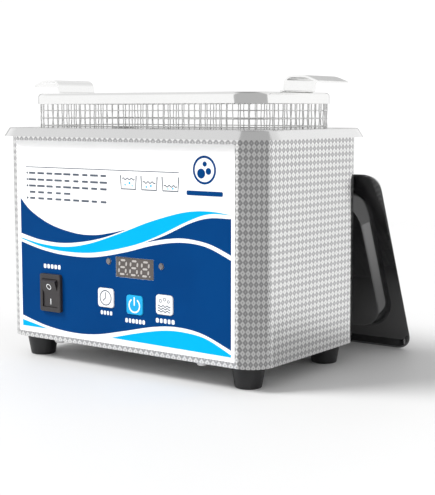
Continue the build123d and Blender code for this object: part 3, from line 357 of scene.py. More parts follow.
FINISHES = {
    "housing_steel": embossed_sheet(),
    "base_steel": drawn_steel("base_plate_steel", (0.62, 0.62, 0.62), (0.50, 0.50, 0.50), 0.32, (1, 12, 1)),
    "tank_steel": drawn_steel("tank_steel", (0.84, 0.84, 0.84), (0.77, 0.77, 0.77), 0.09, (1, 1, 6), 0.02),
    "basket_steel": drawn_steel("basket_band_steel", (0.92, 0.92, 0.91), (0.86, 0.86, 0.86), 0.07,
                                (1, 1, 9), 0.02),
    "basket_wire": drawn_steel("basket_wire", (0.84, 0.84, 0.83), (0.72, 0.72, 0.72), 0.28, (3, 3, 3)),
    "screw_steel": drawn_steel("screw_steel", (0.66, 0.66, 0.66), (0.50, 0.50, 0.50), 0.25),
    "foot_rubber": ringed_rubber(),
    "gasket_silicone": moulded("gasket_silicone", (0.72, 0.72, 0.70), (0.64, 0.64, 0.62), 0.45),
    "front_film": moulded("white_film", (0.93, 0.93, 0.93), (0.95, 0.95, 0.95), 0.32, 2500.0, 0.04,
                          mirror=0.2),
    "key_white": moulded("white_key", (0.86, 0.87, 0.88), (0.90, 0.91, 0.92), 0.30, 2500.0, 0.04, mirror=0.2),
    "key_blue": moulded("blue_key", (0.014, 0.36, 0.68), (0.018, 0.39, 0.73), 0.30, 2500.0, 0.04, mirror=0.1),
    "switch_plastic": moulded("switch_plastic", (0.020, 0.017, 0.018), (0.030, 0.026, 0.027), 0.28,
                              1700.0, 0.10),
    "display_window": smoked_window(),
    "lamp_lens": moulded("lamp_lens", (0.12, 0.105, 0.11), (0.16, 0.145, 0.15), 0.16, 3000.0, 0.03, coat=0.5),
    "lid_plastic": moulded("lid_plastic", (0.010, 0.010, 0.011), (0.014, 0.014, 0.015), 0.10, 1100.0,
                           0.015, coat=1.0, mirror=1.0),
    "inlet_plastic": moulded("inlet_plastic", (0.020, 0.020, 0.021), (0.030, 0.030, 0.031), 0.36,
                             1500.0, 0.12),
    "contact_metal": drawn_steel("contact_metal", (0.80, 0.74, 0.58), (0.66, 0.60, 0.46), 0.25, (6, 1, 1)),
    "ceramic": moulded("piezo_ceramic", (0.55, 0.50, 0.40), (0.47, 0.42, 0.33), 0.55, 1200.0, 0.15),
    "transducer_aluminium": drawn_steel("turned_aluminium", (0.80, 0.80, 0.80), (0.68, 0.68, 0.69), 0.28,
                                        (1, 1, 20), 0.12),
    "transducer_steel": drawn_steel("turned_steel", (0.52, 0.52, 0.53), (0.42, 0.42, 0.43), 0.30,
                                    (1, 1, 20), 0.12),
    "electrode_copper": drawn_steel("electrode_copper", (0.86, 0.50, 0.34), (0.72, 0.38, 0.24), 0.28),
    "board_green": fibre_board("board_green", (0.012, 0.16, 0.055), (0.03, 0.26, 0.10)),
    "ferrite": moulded("ferrite", (0.035, 0.033, 0.032), (0.055, 0.052, 0.050), 0.55, 900.0, 0.25),
    "capacitor_sleeve": moulded("capacitor_sleeve", (0.012, 0.025, 0.10), (0.02, 0.04, 0.14), 0.22),
    "heat_sink_aluminium": drawn_steel("heat_sink_aluminium", (0.60, 0.60, 0.61), (0.48, 0.48, 0.49), 0.36,
                                       (1, 1, 14), 0.15),
    "transistor_black": moulded("transistor_black", (0.018, 0.018, 0.018), (0.03, 0.03, 0.03), 0.5,
                                900.0, 0.2),
    "fuse_glass": moulded("fuse_glass", (0.62, 0.68, 0.66), (0.72, 0.76, 0.74), 0.08, coat=0.6),
    "header_plastic": moulded("header_plastic", (0.70, 0.68, 0.60), (0.62, 0.60, 0.52), 0.42),
    "lead_brown": moulded("lead_brown", (0.13, 0.05, 0.022), (0.17, 0.07, 0.03), 0.36),
    "lead_blue": moulded("lead_blue", (0.02, 0.10, 0.42), (0.03, 0.14, 0.5), 0.36),
    "lead_green": moulded("lead_green", (0.06, 0.30, 0.05), (0.42, 0.42, 0.03), 0.36, swirl=220.0),
    "lead_red": moulded("lead_red", (0.45, 0.015, 0.012), (0.55, 0.03, 0.02), 0.36),
    "ribbon_grey": moulded("ribbon_grey", (0.42, 0.42, 0.43), (0.52, 0.52, 0.53), 0.40, swirl=900.0),
}
INKS = {
    "deep_blue": moulded("deep_blue_ink", (0.0006, 0.043, 0.175), (0.0008, 0.048, 0.190), 0.34, 2500.0,
                         0.04, mirror=0.03),
    "sky_blue": moulded("sky_blue_ink", (0.0008, 0.400, 0.86), (0.0012, 0.425, 0.92), 0.34, 2500.0,
                        0.04, mirror=0.03),
    "white": moulded("white_ink", (0.86, 0.89, 0.92), (0.92, 0.94, 0.95), 0.34, 2500.0, 0.04, mirror=0.2),
    "grey": moulded("grey_ink", (0.085, 0.10, 0.13), (0.12, 0.14, 0.17), 0.36, 2500.0, 0.04, mirror=0.1),
    "segment": moulded("segment_grey", (0.42, 0.395, 0.375), (0.48, 0.455, 0.435), 0.28, 2500.0, 0.04,
                       mirror=0.2),
}


# ---------------------------------------------------------------- making pieces
def new_piece(name, mesh, finish, body, replaced=()):
    """Links a finished mesh as a piece that moves with a body."""
    mesh.materials.clear()
    mesh.materials.append(finish)
    piece = bpy.data.objects.new(name, mesh)
    bpy.context.scene.collection.objects.link(piece)
    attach(piece, body)
    if replaced:
        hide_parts(*replaced)
    return piece


def evaluated_mesh(holder):
    """An object's mesh after its modifiers; the object itself is removed."""
    bpy.context.view_layer.update()
    graph = bpy.context.evaluated_depsgraph_get()
    mesh = bpy.data.meshes.new_from_object(holder.evaluated_get(graph))
    bpy.data.objects.remove(holder)
    return mesh


def merged_copy(source):
    """A node's loose triangles as one closed mesh without stored normals."""
    work = bmesh.new()
    work.from_mesh(source.data)
    bmesh.ops.remove_doubles(work, verts=work.verts, dist=2e-6)
    work.verts.index_update()
    spots = [v.co.copy() for v in work.verts]
    faces = [[v.index for v in f.verts] for f in work.faces]
    work.free()
    mesh = bpy.data.meshes.new(source.name + "_skin")
    mesh.from_pydata(spots, [], faces)
    mesh.validate()
    return mesh


def dress(node, crease=34.0):
    """Replaces a node by a merged copy with smooth curves, crisp edges and its own finish."""
    mesh = merged_copy(nodes[node])
    mesh.polygons.foreach_set("use_smooth", [True] * len(mesh.polygons))
    mesh.set_sharp_from_angle(angle=math.radians(crease))
    holder = bpy.data.objects.new(node + "_even", mesh)
    bpy.context.scene.collection.objects.link(holder)
    even = holder.modifiers.new("even", "WEIGHTED_NORMAL")
    even.keep_sharp = True
    even.weight = 90
    mesh = evaluated_mesh(holder)
    slot = SLOT_OF[node]
    return new_piece(node + "_skin", mesh, FINISHES[slot], BODY_OF[node], [node])


# ---- flat print, from outlines in millimetres across and up the front ----
def smooth_run(points, steps=7):
    """Points along a smooth line through a few given ones."""
    ends = [points[0]] + list(points) + [points[-1]]
    run = []
    for before, start, end, after in zip(ends, ends[1:], ends[2:], ends[3:]):
        for i in range(steps):
            t = i / steps
            run.append(tuple(
                0.5 * (2 * b + (c - a) * t + (2 * a - 5 * b + 4 * c - d) * t * t
                       + (3 * b - a - 3 * c + d) * t ** 3)
                for a, b, c, d in zip(before, start, end, after)))
    run.append(tuple(points[-1]))
    return run


def swoosh(top, bottom):
    """A closed outline between an upper and a lower smooth edge, both given left to right."""
    return smooth_run(top) + smooth_run(bottom)[::-1]


def rounded_box(x, z, width, height, radius, steps=5):
    """A rounded rectangle about a centre."""
    spots = []
    for sx, sz, start in ((1, 1, 0), (-1, 1, 90), (-1, -1, 180), (1, -1, 270)):
        cx, cz = x + sx * (width / 2 - radius), z + sz * (height / 2 - radius)
        for i in range(steps + 1):
            a = math.radians(start + 90 * i / steps)
            spots.append((cx + radius * math.cos(a), cz + radius * math.sin(a)))
    return spots


def disc(x, z, radius, steps=28):
    """A round outline about a centre."""
    return [(x + radius * math.cos(2 * math.pi * i / steps), z + radius * math.sin(2 * math.pi * i / steps))
            for i in range(steps)]


def ring(x, z, radius, width):
    """The outer and inner outlines of a ring."""
    return [disc(x, z, radius), disc(x, z, radius - width)]


def stroke(points, width):
    """A line of even width along some points, with square ends."""
    left, right = [], []
    for i, (x, z) in enumerate(points):
        x0, z0 = points[max(0, i - 1)]
        x1, z1 = points[min(len(points) - 1, i + 1)]
        length = math.hypot(x1 - x0, z1 - z0)
        nx, nz = -(z1 - z0) / length * width / 2, (x1 - x0) / length * width / 2
        left.append((x + nx, z + nz))
        right.append((x - nx, z - nz))
    return left + right[::-1]


def arc(x, z, radius, start, end, steps=20):
    """Points along part of a circle, from one angle to another in degrees."""
    turns = [math.radians(start + (end - start) * i / steps) for i in range(steps + 1)]
    return [(x + radius * math.cos(a), z + radius * math.sin(a)) for a in turns]


def ripple(x0, x1, z, height, waves, steps=8):
    """Points along an even wavy line."""
    count = waves * steps
    return [(x0 + (x1 - x0) * i / count, z + height * math.sin(2 * math.pi * i / steps))
            for i in range(count + 1)]


def printed(name, outlines, finish, body, place, thickness=0.03):
    """A thin layer of ink or film: closed outlines, where one inside another is a hole."""
    curve = bpy.data.curves.new(name, "CURVE")
    curve.dimensions = "2D"
    curve.fill_mode = "BOTH"
    curve.extrude = thickness / 2 * MM
    for outline in outlines:
        line = curve.splines.new("POLY")
        line.points.add(len(outline) - 1)
        for point, (x, z) in zip(line.points, outline):
            point.co = (x * MM, z * MM, 0.0, 1.0)
        line.use_cyclic_u = True
    holder = bpy.data.objects.new(name, curve)
    bpy.context.scene.collection.objects.link(holder)
    mesh = evaluated_mesh(holder)
    stand = Matrix.Translation((0, -thickness / 2 * MM, 0)) @ Matrix.Rotation(math.radians(90), 4, "X")
    mesh.transform(place @ stand)
    work = bmesh.new()
    work.from_mesh(mesh)
    bmesh.ops.remove_doubles(work, verts=work.verts, dist=1e-7)
    bmesh.ops.recalc_face_normals(work, faces=work.faces)
    work.to_mesh(mesh)
    work.free()
    return new_piece(name, mesh, finish, body)


# ---------------------------------------------------------------- node trees
class Recipe:
    """A Geometry Nodes tree with named inputs."""

    def __init__(self, name, inputs):
        self.tree = bpy.data.node_groups.new(name, "GeometryNodeTree")
        sides = self.tree.interface
        sides.new_socket(name="Geometry", in_out="INPUT", socket_type="NodeSocketGeometry")
        for label, kind in inputs.items():
            sides.new_socket(name=label, in_out="INPUT", socket_type="NodeSocket" + kind)
        sides.new_socket(name="Geometry", in_out="OUTPUT", socket_type="NodeSocketGeometry")
        self.given = self.tree.nodes.new("NodeGroupInput")
        self.result = self.tree.nodes.new("NodeGroupOutput")

    def input(self, label):
        """One of the recipe's named inputs."""
        return self.given.outputs[label]

    def add(self, kind, settings=None, links=None):
        """Any node: its settings first, then links or values for its sockets."""
        made = self.tree.nodes.new(kind)
        for key, value in (settings or {}).items():
            setattr(made, key, value)
        for key, value in (links or {}).items():
            if isinstance(value, bpy.types.NodeSocket):
                self.tree.links.new(value, made.inputs[key])
            else:
                made.inputs[key].default_value = value
        return made

    def end(self, geometry):
        """Turns instances into real geometry and gives it the finish."""
        whole = self.add("GeometryNodeRealizeInstances", None, {0: geometry})
        coat = self.add("GeometryNodeSetMaterial", None, {"Geometry": whole.outputs[0],
                                                          "Material": self.input("Finish")})
        self.tree.links.new(coat.outputs[0], self.result.inputs[0])

    def run(self, mesh, values):
        """The plain mesh this recipe makes from a base mesh and values for its inputs."""
        holder = bpy.data.objects.new("recipe_base", mesh)
        bpy.context.scene.collection.objects.link(holder)
        step = holder.modifiers.new("recipe", "NODES")
        step.node_group = self.tree
        for item in self.tree.interface.items_tree:
            if item.in_out == "INPUT" and item.name in values:
                step[item.identifier] = values[item.name]
        return evaluated_mesh(holder)


def wire_recipe():
    """Round wire along every line of the base mesh, bent smoothly from point to point."""
    recipe = Recipe("woven_wire", {"Wire radius": "Float", "Sides": "Int", "Smoothing": "Int",
                                   "Finish": "Material"})
    lines = recipe.add("GeometryNodeMeshToCurve", None, {"Mesh": recipe.input("Geometry")})
    bent = recipe.add("GeometryNodeCurveSplineType", {"spline_type": "CATMULL_ROM"},
                      {"Curve": lines.outputs[0]})
    fine = recipe.add("GeometryNodeSetSplineResolution", None, {
        "Geometry": bent.outputs[0], "Resolution": recipe.input("Smoothing")})
    round_wire = recipe.add("GeometryNodeCurvePrimitiveCircle", {"mode": "RADIUS"}, {
        "Radius": recipe.input("Wire radius"), "Resolution": recipe.input("Sides")})
    tube = recipe.add("GeometryNodeCurveToMesh", None, {
        "Curve": fine.outputs[0], "Profile Curve": round_wire.outputs[0], "Fill Caps": True})
    smooth = recipe.add("GeometryNodeSetShadeSmooth", None, {"Geometry": tube.outputs[0]})
    recipe.end(smooth.outputs[0])
    return recipe


def mark_recipe():
    """A row of rounded blocks of uneven width that stands for a line of print."""
    recipe = Recipe("mark_row", {"Count": "Int", "Pitch": "Vector", "Start": "Vector", "Width": "Float",
                                 "Height": "Float", "Rounding": "Float", "Thickness": "Float",
                                 "Narrowest": "Vector", "Seed": "Int", "Finish": "Material"})
    row = recipe.add("GeometryNodeMeshLine", {"mode": "OFFSET"}, {
        "Count": recipe.input("Count"), "Start Location": recipe.input("Start"),
        "Offset": recipe.input("Pitch")})
    outline = recipe.add("GeometryNodeCurvePrimitiveQuadrilateral", None, {
        "Width": recipe.input("Width"), "Height": recipe.input("Height")})
    rounded = recipe.add("GeometryNodeFilletCurve", {"mode": "POLY"}, {
        "Curve": outline.outputs[0], "Radius": recipe.input("Rounding"), "Count": 3})
    filled = recipe.add("GeometryNodeFillCurve", {"mode": "NGONS"}, {"Curve": rounded.outputs[0]})
    block = recipe.add("GeometryNodeExtrudeMesh", None, {
        "Mesh": filled.outputs[0], "Offset Scale": recipe.input("Thickness")})
    back = recipe.add("GeometryNodeFlipFaces", None, {"Mesh": filled.outputs[0]})
    joined = recipe.add("GeometryNodeJoinGeometry")
    recipe.tree.links.new(back.outputs[0], joined.inputs[0])
    recipe.tree.links.new(block.outputs[0], joined.inputs[0])
    width = recipe.add("FunctionNodeRandomValue", {"data_type": "FLOAT_VECTOR"}, {
        0: recipe.input("Narrowest"), 1: (1.0, 1.0, 1.0), "Seed": recipe.input("Seed")})
    placed = recipe.add("GeometryNodeInstanceOnPoints", None, {
        "Points": row.outputs[0], "Instance": joined.outputs[0], "Scale": width.outputs[0]})
    recipe.end(placed.outputs[0])
    return recipe


# ---------------------------------------------------------------- the woven basket
WIRE_R = 0.33
WEAVE = 0.20
ROW_PITCH = 4.2
FIRST_ROW = 3.6
TOP_IN_BAND = 3.0
BEND_R = 3.6
BASKET_CORNER_R = 13.35
LONG_PITCHES = 32
SHORT_PITCHES = 13
CORNER_PITCHES = 5
CORNER_WIRE_REACH = 7.5


def woven_basket():
    """A square weave: rows round the walls and wires that run down, under and up again."""
    low, high = (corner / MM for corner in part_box("basket_mesh"))
    band_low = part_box("basket_band")[0].z / MM
    wall = WIRE_R + WEAVE
    hx, hy = high.x - wall, high.y - wall
    radius = BASKET_CORNER_R
    floor = low.z + wall
    top = band_low + TOP_IN_BAND
    rows = []
    z = band_low - FIRST_ROW
    while z > floor + BEND_R:
        rows.append(z)
        z -= ROW_PITCH
    sx, sy, corner_steps = LONG_PITCHES, SHORT_PITCHES, CORNER_PITCHES
    straight_x, straight_y = hx - radius, hy - radius

    stations = []
    for i in range(sx):
        stations.append((-straight_x + 2 * straight_x * i / sx, -hy, 0.0, -1.0))
    for k, (cx, cy, start) in enumerate(((straight_x, -straight_y, -90), (straight_x, straight_y, 0),
                                         (-straight_x, straight_y, 90), (-straight_x, -straight_y, 180))):
        for i in range(corner_steps):
            a = math.radians(start + 90 * i / corner_steps)
            stations.append((cx + radius * math.cos(a), cy + radius * math.sin(a), math.cos(a), math.sin(a)))
        if k == 0:
            for i in range(sy):
                stations.append((hx, -straight_y + 2 * straight_y * i / sy, 1.0, 0.0))
        if k == 1:
            for i in range(sx):
                stations.append((straight_x - 2 * straight_x * i / sx, hy, 0.0, 1.0))
        if k == 2:
            for i in range(sy):
                stations.append((-hx, straight_y - 2 * straight_y * i / sy, -1.0, 0.0))

    spots, edges = [], []

    def lay(points, closed=False):
        """Adds one wire's run of points."""
        start = len(spots)
        spots.extend([(x * MM, y * MM, z * MM) for x, y, z in points])
        edges.extend([(start + i, start + i + 1) for i in range(len(points) - 1)])
        if closed:
            edges.append((start + len(points) - 1, start))

    def over(a, b):
        """Which side of its crossing wire a wire passes."""
        return WEAVE if (a + b) % 2 else -WEAVE

    for m, z in enumerate(rows):
        run = [(x + nx * over(k, m), y + ny * over(k, m), z) for k, (x, y, nx, ny) in enumerate(stations)]
        lay(run, closed=True)

    def down(k):
        """One wire's points from the band to the end of the bend, at a station."""
        x, y, nx, ny = stations[k]
        run = [(x, y, top)]
        run += [(x - nx * over(k, m), y - ny * over(k, m), z) for m, z in enumerate(rows)]
        back = BEND_R * (1 - math.cos(math.radians(45)))
        run.append((x - nx * back, y - ny * back, floor + back))
        run.append((x - nx * BEND_R, y - ny * BEND_R, floor))
        return run

    count = len(stations)
    right = sx + corner_steps
    pitch_x, pitch_y = 2 * straight_x / sx, 2 * straight_y / sy
    ys = [-straight_y + pitch_y * j for j in range(-3, sy + 4)]
    xs = [-straight_x + pitch_x * i for i in range(-3, sx + 4)]
    for i in range(sx + 1):
        x = -straight_x + pitch_x * i
        opposite = sx + corner_steps + sy + corner_steps + (sx - i)
        across = [(x, y, floor + over(i, j)) for j, y in enumerate(ys) if abs(y) < hy - BEND_R - 1]
        lay(down(i) + across + down(opposite)[::-1])
    for j in range(sy + 1):
        y = -straight_y + pitch_y * j
        opposite = (2 * sx + sy + 3 * corner_steps + (sy - j)) % count
        across = [(x, y, floor - over(i, j + 3)) for i, x in enumerate(xs, -3) if abs(x) < hx - BEND_R - 1]
        lay(down(right + j) + across[::-1] + down(opposite)[::-1])
    corner_starts = (sx, sx + corner_steps + sy, 2 * sx + 2 * corner_steps + sy,
                     2 * sx + 3 * corner_steps + 2 * sy)
    for k in (first + i for first in corner_starts for i in range(1, corner_steps)):
        x, y, nx, ny = stations[k]
        lay(down(k) + [(x - nx * CORNER_WIRE_REACH, y - ny * CORNER_WIRE_REACH, floor)])

    def floor_reach(offset, straight, half):
        """How far a wire outside the straight part may run before the rounded corner."""
        out = offset - straight
        return half + math.sqrt(max(0.0, (radius - BEND_R) ** 2 - out * out))

    for side in (-1, 1):
        for step in (1, 2):
            y = side * (straight_y + step * pitch_y)
            reach = floor_reach(abs(y), straight_y, straight_x)
            lay([(x, y, floor - over(i, step)) for i, x in enumerate(xs) if abs(x) <= reach])
            x = side * (straight_x + step * pitch_x)
            reach = floor_reach(abs(x), straight_x, straight_y)
            lay([(x, y, floor + over(j, step)) for j, y in enumerate(ys) if abs(y) <= reach])

    mesh = bpy.data.meshes.new("weave_lines")
    mesh.from_pydata(spots, edges, [])
    woven = wire_recipe().run(mesh, {"Wire radius": WIRE_R * MM, "Sides": 6, "Smoothing": 2,
                                     "Finish": FINISHES["basket_wire"]})
    new_piece("woven_basket", woven, FINISHES["basket_wire"], "basket", ["basket_mesh"])


# ---------------------------------------------------------------- the printed front
def front_face():
    """Where the film's outer face is, as a placing matrix."""
    return Matrix.Translation((0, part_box("front_overlay")[0].y, 0))


KEY_FRAME = 0.9
LAMP_HOLE_R = 1.75
SWITCH_HOLE = (13.2, 19.0)


def window_outlines(gap=0.25):
    """The openings in the film, a little larger than what shows through them."""
    cuts = []
    for node, radius in (("display_module", 0.4), ("button_time", 2.0), ("button_on_off", 2.0),
                         ("button_degas", 2.0)):
        low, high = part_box(node)
        if node != "display_module":
            frame_width = Vector((KEY_FRAME, 0, KEY_FRAME)) * MM
            low, high = low + frame_width, high - frame_width
        x, z = (low.x + high.x) / 2 / MM, (low.z + high.z) / 2 / MM
        width, height = (high.x - low.x) / MM + 2 * gap, (high.z - low.z) / MM + 2 * gap
        cuts.append(rounded_box(x, z, width, height, radius))
    for node in ("led_left", "led_right"):
        low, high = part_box(node)
        cuts.append(disc((low.x + high.x) / 2 / MM, (low.z + high.z) / 2 / MM, LAMP_HOLE_R))
    low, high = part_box("switch_body")
    cuts.append(rounded_box((low.x + high.x) / 2 / MM, (low.z + high.z) / 2 / MM, *SWITCH_HOLE, 0.5))
    return cuts


LEFT_EDGE = -74.3
RIGHT_EDGE = 71.4


def printed_waves():
    """Overlapping bands of two blues that run across the film."""
    place = front_face()
    cuts = window_outlines()
    upper_top = [(LEFT_EDGE, 90.8), (-66, 83.7), (-51, 76.9), (-33, 73.3), (-19, 73.1), (-7, 75.0),
                 (3.8, 77.5)]
    upper_low = [(LEFT_EDGE, 70.9), (-60, 68.1), (-44, 67.2), (-28, 68.8), (-12, 72.2), (3.8, 77.4)]
    sky_top = [(LEFT_EDGE, 68.3), (-58, 65.7), (-40, 65.3), (-22, 68.4), (0, 75.4), (20, 82.5), (42, 88.4),
               (58, 89.7), (RIGHT_EDGE, 88.5)]
    sky_low = [(LEFT_EDGE, 67.8), (-58, 64.1), (-40, 62.6), (-18, 63.7), (7, 69.0), (24, 74.9), (45, 84.2),
               (58, 88.3), (RIGHT_EDGE, 88.4)]
    main_top = [(LEFT_EDGE, 66.1), (-58, 62.5), (-40, 60.6), (-20, 61.0), (2, 65.1), (22, 70.3), (40, 72.9),
                (56, 71.7), (RIGHT_EDGE, 66.0)]
    main_low = [(LEFT_EDGE, 24.1), (-56, 19.8), (-36, 18.0), (-18, 19.0), (2, 23.1), (22, 27.5), (38, 29.0),
                (54, 27.2), (RIGHT_EDGE, 20.9)]
    wedge_top = [(16, 71.2), (30, 76.1), (46, 83.1), (58, 86.3), (RIGHT_EDGE, 86.6)]
    wedge_low = [(16, 71.2), (30, 74.0), (43, 75.1), (58, 73.3), (RIGHT_EDGE, 68.5)]
    left_top = [(LEFT_EDGE, 21.5), (-64.4, 19.8), (-55, 18.05)]
    left_low = [(LEFT_EDGE, 18.0), (-64.4, 18.0), (-55, 18.0)]
    right_top = [(-6.9, 18.5), (10, 22.7), (28, 26.2), (42, 26.8), (56, 25.0), (RIGHT_EDGE, 18.6)]
    right_low = [(-6.9, 18.3), (30, 17.9), (RIGHT_EDGE, 17.4)]
    waves = (
        ("wave_deep_upper", [swoosh(upper_top, upper_low)], "deep_blue"),
        ("wave_sky", [swoosh(sky_top, sky_low)], "sky_blue"),
        ("wave_deep_main", [swoosh(main_top, main_low)] + cuts, "deep_blue"),
        ("wave_deep_wedge", [swoosh(wedge_top, wedge_low)], "deep_blue"),
        ("wave_sky_left", [swoosh(left_top, left_low)], "sky_blue"),
        ("wave_sky_right", [swoosh(right_top, right_low)], "sky_blue"),
    )
    for name, outlines, ink in waves:
        printed(name, outlines, INKS[ink], "machine", place)


def mark_rows():
    """Lines of plain blocks where the real film has words."""
    recipe = mark_recipe()
    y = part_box("front_overlay")[0].y
    stand = Matrix.Rotation(math.radians(90), 4, "X")
    lines = (
        ("label_power", INKS["white"], -56.0, 53.5, 5, 2.7, 2.1, 2.4, 0.85, 3, 0.03),
        ("label_time", INKS["white"], -14.1, 31.6, 4, 2.2, 1.7, 2.2, 0.85, 5, 0.05),
        ("label_on_off", INKS["white"], 3.4, 29.1, 6, 2.35, 1.8, 2.4, 0.85, 7, 0.05),
        ("label_degas", INKS["white"], 24.4, 31.3, 5, 2.6, 2.0, 2.4, 0.85, 9, 0.05),
        ("notes_line_1", INKS["grey"], -64.8, 105.1, 9, 6.6, 5.9, 1.15, 0.62, 11, 0.03),
        ("notes_line_2", INKS["grey"], -64.8, 101.5, 9, 6.6, 5.9, 1.15, 0.62, 12, 0.03),
        ("notes_line_3", INKS["grey"], -64.8, 98.0, 9, 6.6, 5.9, 1.15, 0.62, 13, 0.03),
        ("notes_line_4", INKS["grey"], -64.8, 94.5, 5, 6.6, 5.9, 1.15, 0.62, 14, 0.03),
        ("notes_line_5", INKS["grey"], -64.8, 91.1, 9, 6.6, 5.9, 1.15, 0.62, 15, 0.03),
    )
    for name, ink, x, z, count, pitch, width, height, narrow, seed, thickness in lines:
        base = bpy.data.meshes.new(name + "_base")
        mesh = recipe.run(base, {
            "Count": count, "Pitch": (pitch * MM, 0, 0), "Start": (x * MM, 0, 0), "Width": width * MM,
            "Height": height * MM, "Rounding": height * 0.28 * MM, "Thickness": thickness * MM,
            "Narrowest": (narrow, 1.0, 1.0), "Seed": seed, "Finish": ink})
        lift = 0.03 * MM if ink is INKS["white"] else 0.0
        mesh.transform(Matrix.Translation((0, y - lift, z * MM)) @ stand)
        new_piece(name, mesh, ink, "machine")


def tub_picture(x, level):
    """A small open tub seen from the front, with a rippled level."""
    low, half, tall, line = 98.8, 5.4, 7.2, 0.55
    wall = [(x - half, low + tall), (x - half + 0.5, low), (x + half - 0.5, low), (x + half, low + tall)]
    water = stroke(ripple(x - half + 1.2, x + half - 1.2, low + level, 0.45, 3), line)
    return [stroke(wall, line + 0.15), water]


def printed_pictures():
    """The tubs, their bubbles, the rule, the bullets, and the plain emblem with its bar."""
    place = front_face()
    pictures = []
    for x, level in ((5.4, 5.3), (19.4, 3.9), (33.4, 2.5)):
        pictures += tub_picture(x, level)
    printed("tub_pictures", pictures, INKS["grey"], "machine", place)
    bubbles = [disc(x, z, r) for x, z, r in (
        (3.2, 101.0, 0.5), (6.2, 102.0, 0.65), (8.0, 100.6, 0.4), (17.6, 100.4, 0.5), (20.6, 101.0, 0.6),
        (31.8, 99.9, 0.4), (35.0, 100.1, 0.5))]
    printed("tub_bubbles", bubbles, INKS["sky_blue"], "machine", place)
    rule = [rounded_box(-15.4, 108.4, 108.6, 0.45, 0.2)]
    printed("rule_line", rule, INKS["grey"], "machine", place)
    bullets = [disc(-68.7, z, 0.62) for z in (105.1, 101.5, 98.0, 91.1)]
    printed("note_bullets", bullets, INKS["grey"], "machine", place)
    emblem = [disc(55.0, 110.2, 7.2, 40), disc(55.0, 110.2, 6.0, 40), disc(53.0, 108.4, 2.5),
              disc(57.5, 109.6, 1.7), disc(55.2, 113.2, 1.3)]
    printed("plain_emblem", emblem, INKS["deep_blue"], "machine", place)
    bar = [rounded_box(55.1, 98.5, 22.6, 2.4, 0.8)]
    printed("plain_bar", bar, INKS["deep_blue"], "machine", place)


def key_middle(node):
    """A key's centre across and up in millimetres, and where its front face is."""
    low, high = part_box(node)
    return (low.x + high.x) / 2 / MM, (low.z + high.z) / 2 / MM, low.y


def key_pictures():
    """The raised ink on the three keys: a clock, a power sign, and bubbles over waves."""
    x, z, y = key_middle("button_time")
    place = Matrix.Translation((0, y, 0))
    printed("clock_face", ring(x, z, 4.2, 0.55), INKS["grey"], "key_time", place)
    hands = [stroke([(x, z + 3.0), (x, z), (x - 2.0, z - 1.7)], 0.55)]
    printed("clock_hands", hands, INKS["grey"], "key_time", place)
    x, z, y = key_middle("button_on_off")
    place = Matrix.Translation((0, y, 0))
    sign = [stroke(arc(x, z - 0.3, 3.6, 122, 418), 0.8), stroke([(x, z - 0.3), (x, z + 4.2)], 0.8)]
    printed("power_sign", sign, INKS["white"], "key_on_off", place)
    x, z, y = key_middle("button_degas")
    place = Matrix.Translation((0, y, 0))
    waves = [stroke(ripple(x - 4.1, x + 4.1, z - 0.7 - 1.35 * i, 0.4, 3), 0.5) for i in range(3)]
    printed("degas_waves", waves, INKS["grey"], "key_degas", place)
    bubbles = []
    for dx, dz, radius in ((-2.4, 2.0, 0.95), (0.3, 2.9, 0.95), (2.8, 1.9, 0.85)):
        bubbles += ring(x + dx, z + dz, radius, 0.35)
    printed("degas_bubbles", bubbles, INKS["grey"], "key_degas", place)


DIGIT = {"wide": 4.7, "tall": 7.4, "thick": 1.05, "lean": 0.1}
DIGIT_PITCH = 7.7
DIGIT_SHIFT = 0.6
POINT_GAP = 1.15
POINT_R = 0.42


def digit(x, z, wide, tall, thick, lean):
    """Seven bars and a point, each a slim pointed block."""
    def slope(px, pz):
        """Leans a point of the digit to the right."""
        return (px + (pz - z) * lean, pz)

    def bar(x0, z0, x1, z1):
        """One segment, pointed at both ends."""
        length = math.hypot(x1 - x0, z1 - z0)
        ux, uz = (x1 - x0) / length, (z1 - z0) / length
        gap, half = thick * 0.62, thick / 2
        x0, z0, x1, z1 = x0 + ux * gap, z0 + uz * gap, x1 - ux * gap, z1 - uz * gap
        px, pz = -uz * half, ux * half
        sx, sz = ux * half, uz * half
        shape = [(x0, z0), (x0 + sx + px, z0 + sz + pz), (x1 - sx + px, z1 - sz + pz),
                 (x1, z1), (x1 - sx - px, z1 - sz - pz), (x0 + sx - px, z0 + sz - pz)]
        return [slope(*p) for p in shape]

    left, right, low, top = x - wide / 2, x + wide / 2, z - tall / 2, z + tall / 2
    bars = [bar(left, level, right, level) for level in (top, z, low)]
    bars += [bar(side, z, side, end) for side in (left, right) for end in (low, top)]
    px, pz = slope(right + POINT_GAP, low + 0.05)
    return bars + [disc(px, pz, POINT_R, 16)]


def display_digits():
    """Three unlit digits on the display's window."""
    low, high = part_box("display_module")
    x, z = (low.x + high.x) / 2 / MM, (low.z + high.z) / 2 / MM
    place = Matrix.Translation((0, low.y, 0))
    bars = []
    for i in (-1, 0, 1):
        bars += digit(x - DIGIT_SHIFT + DIGIT_PITCH * i, z, **DIGIT)
    printed("display_digits", bars, INKS["segment"], "machine", place, 0.02)


ROCKER_CREASE = 2.6
ROCKER_TILT = 10.0


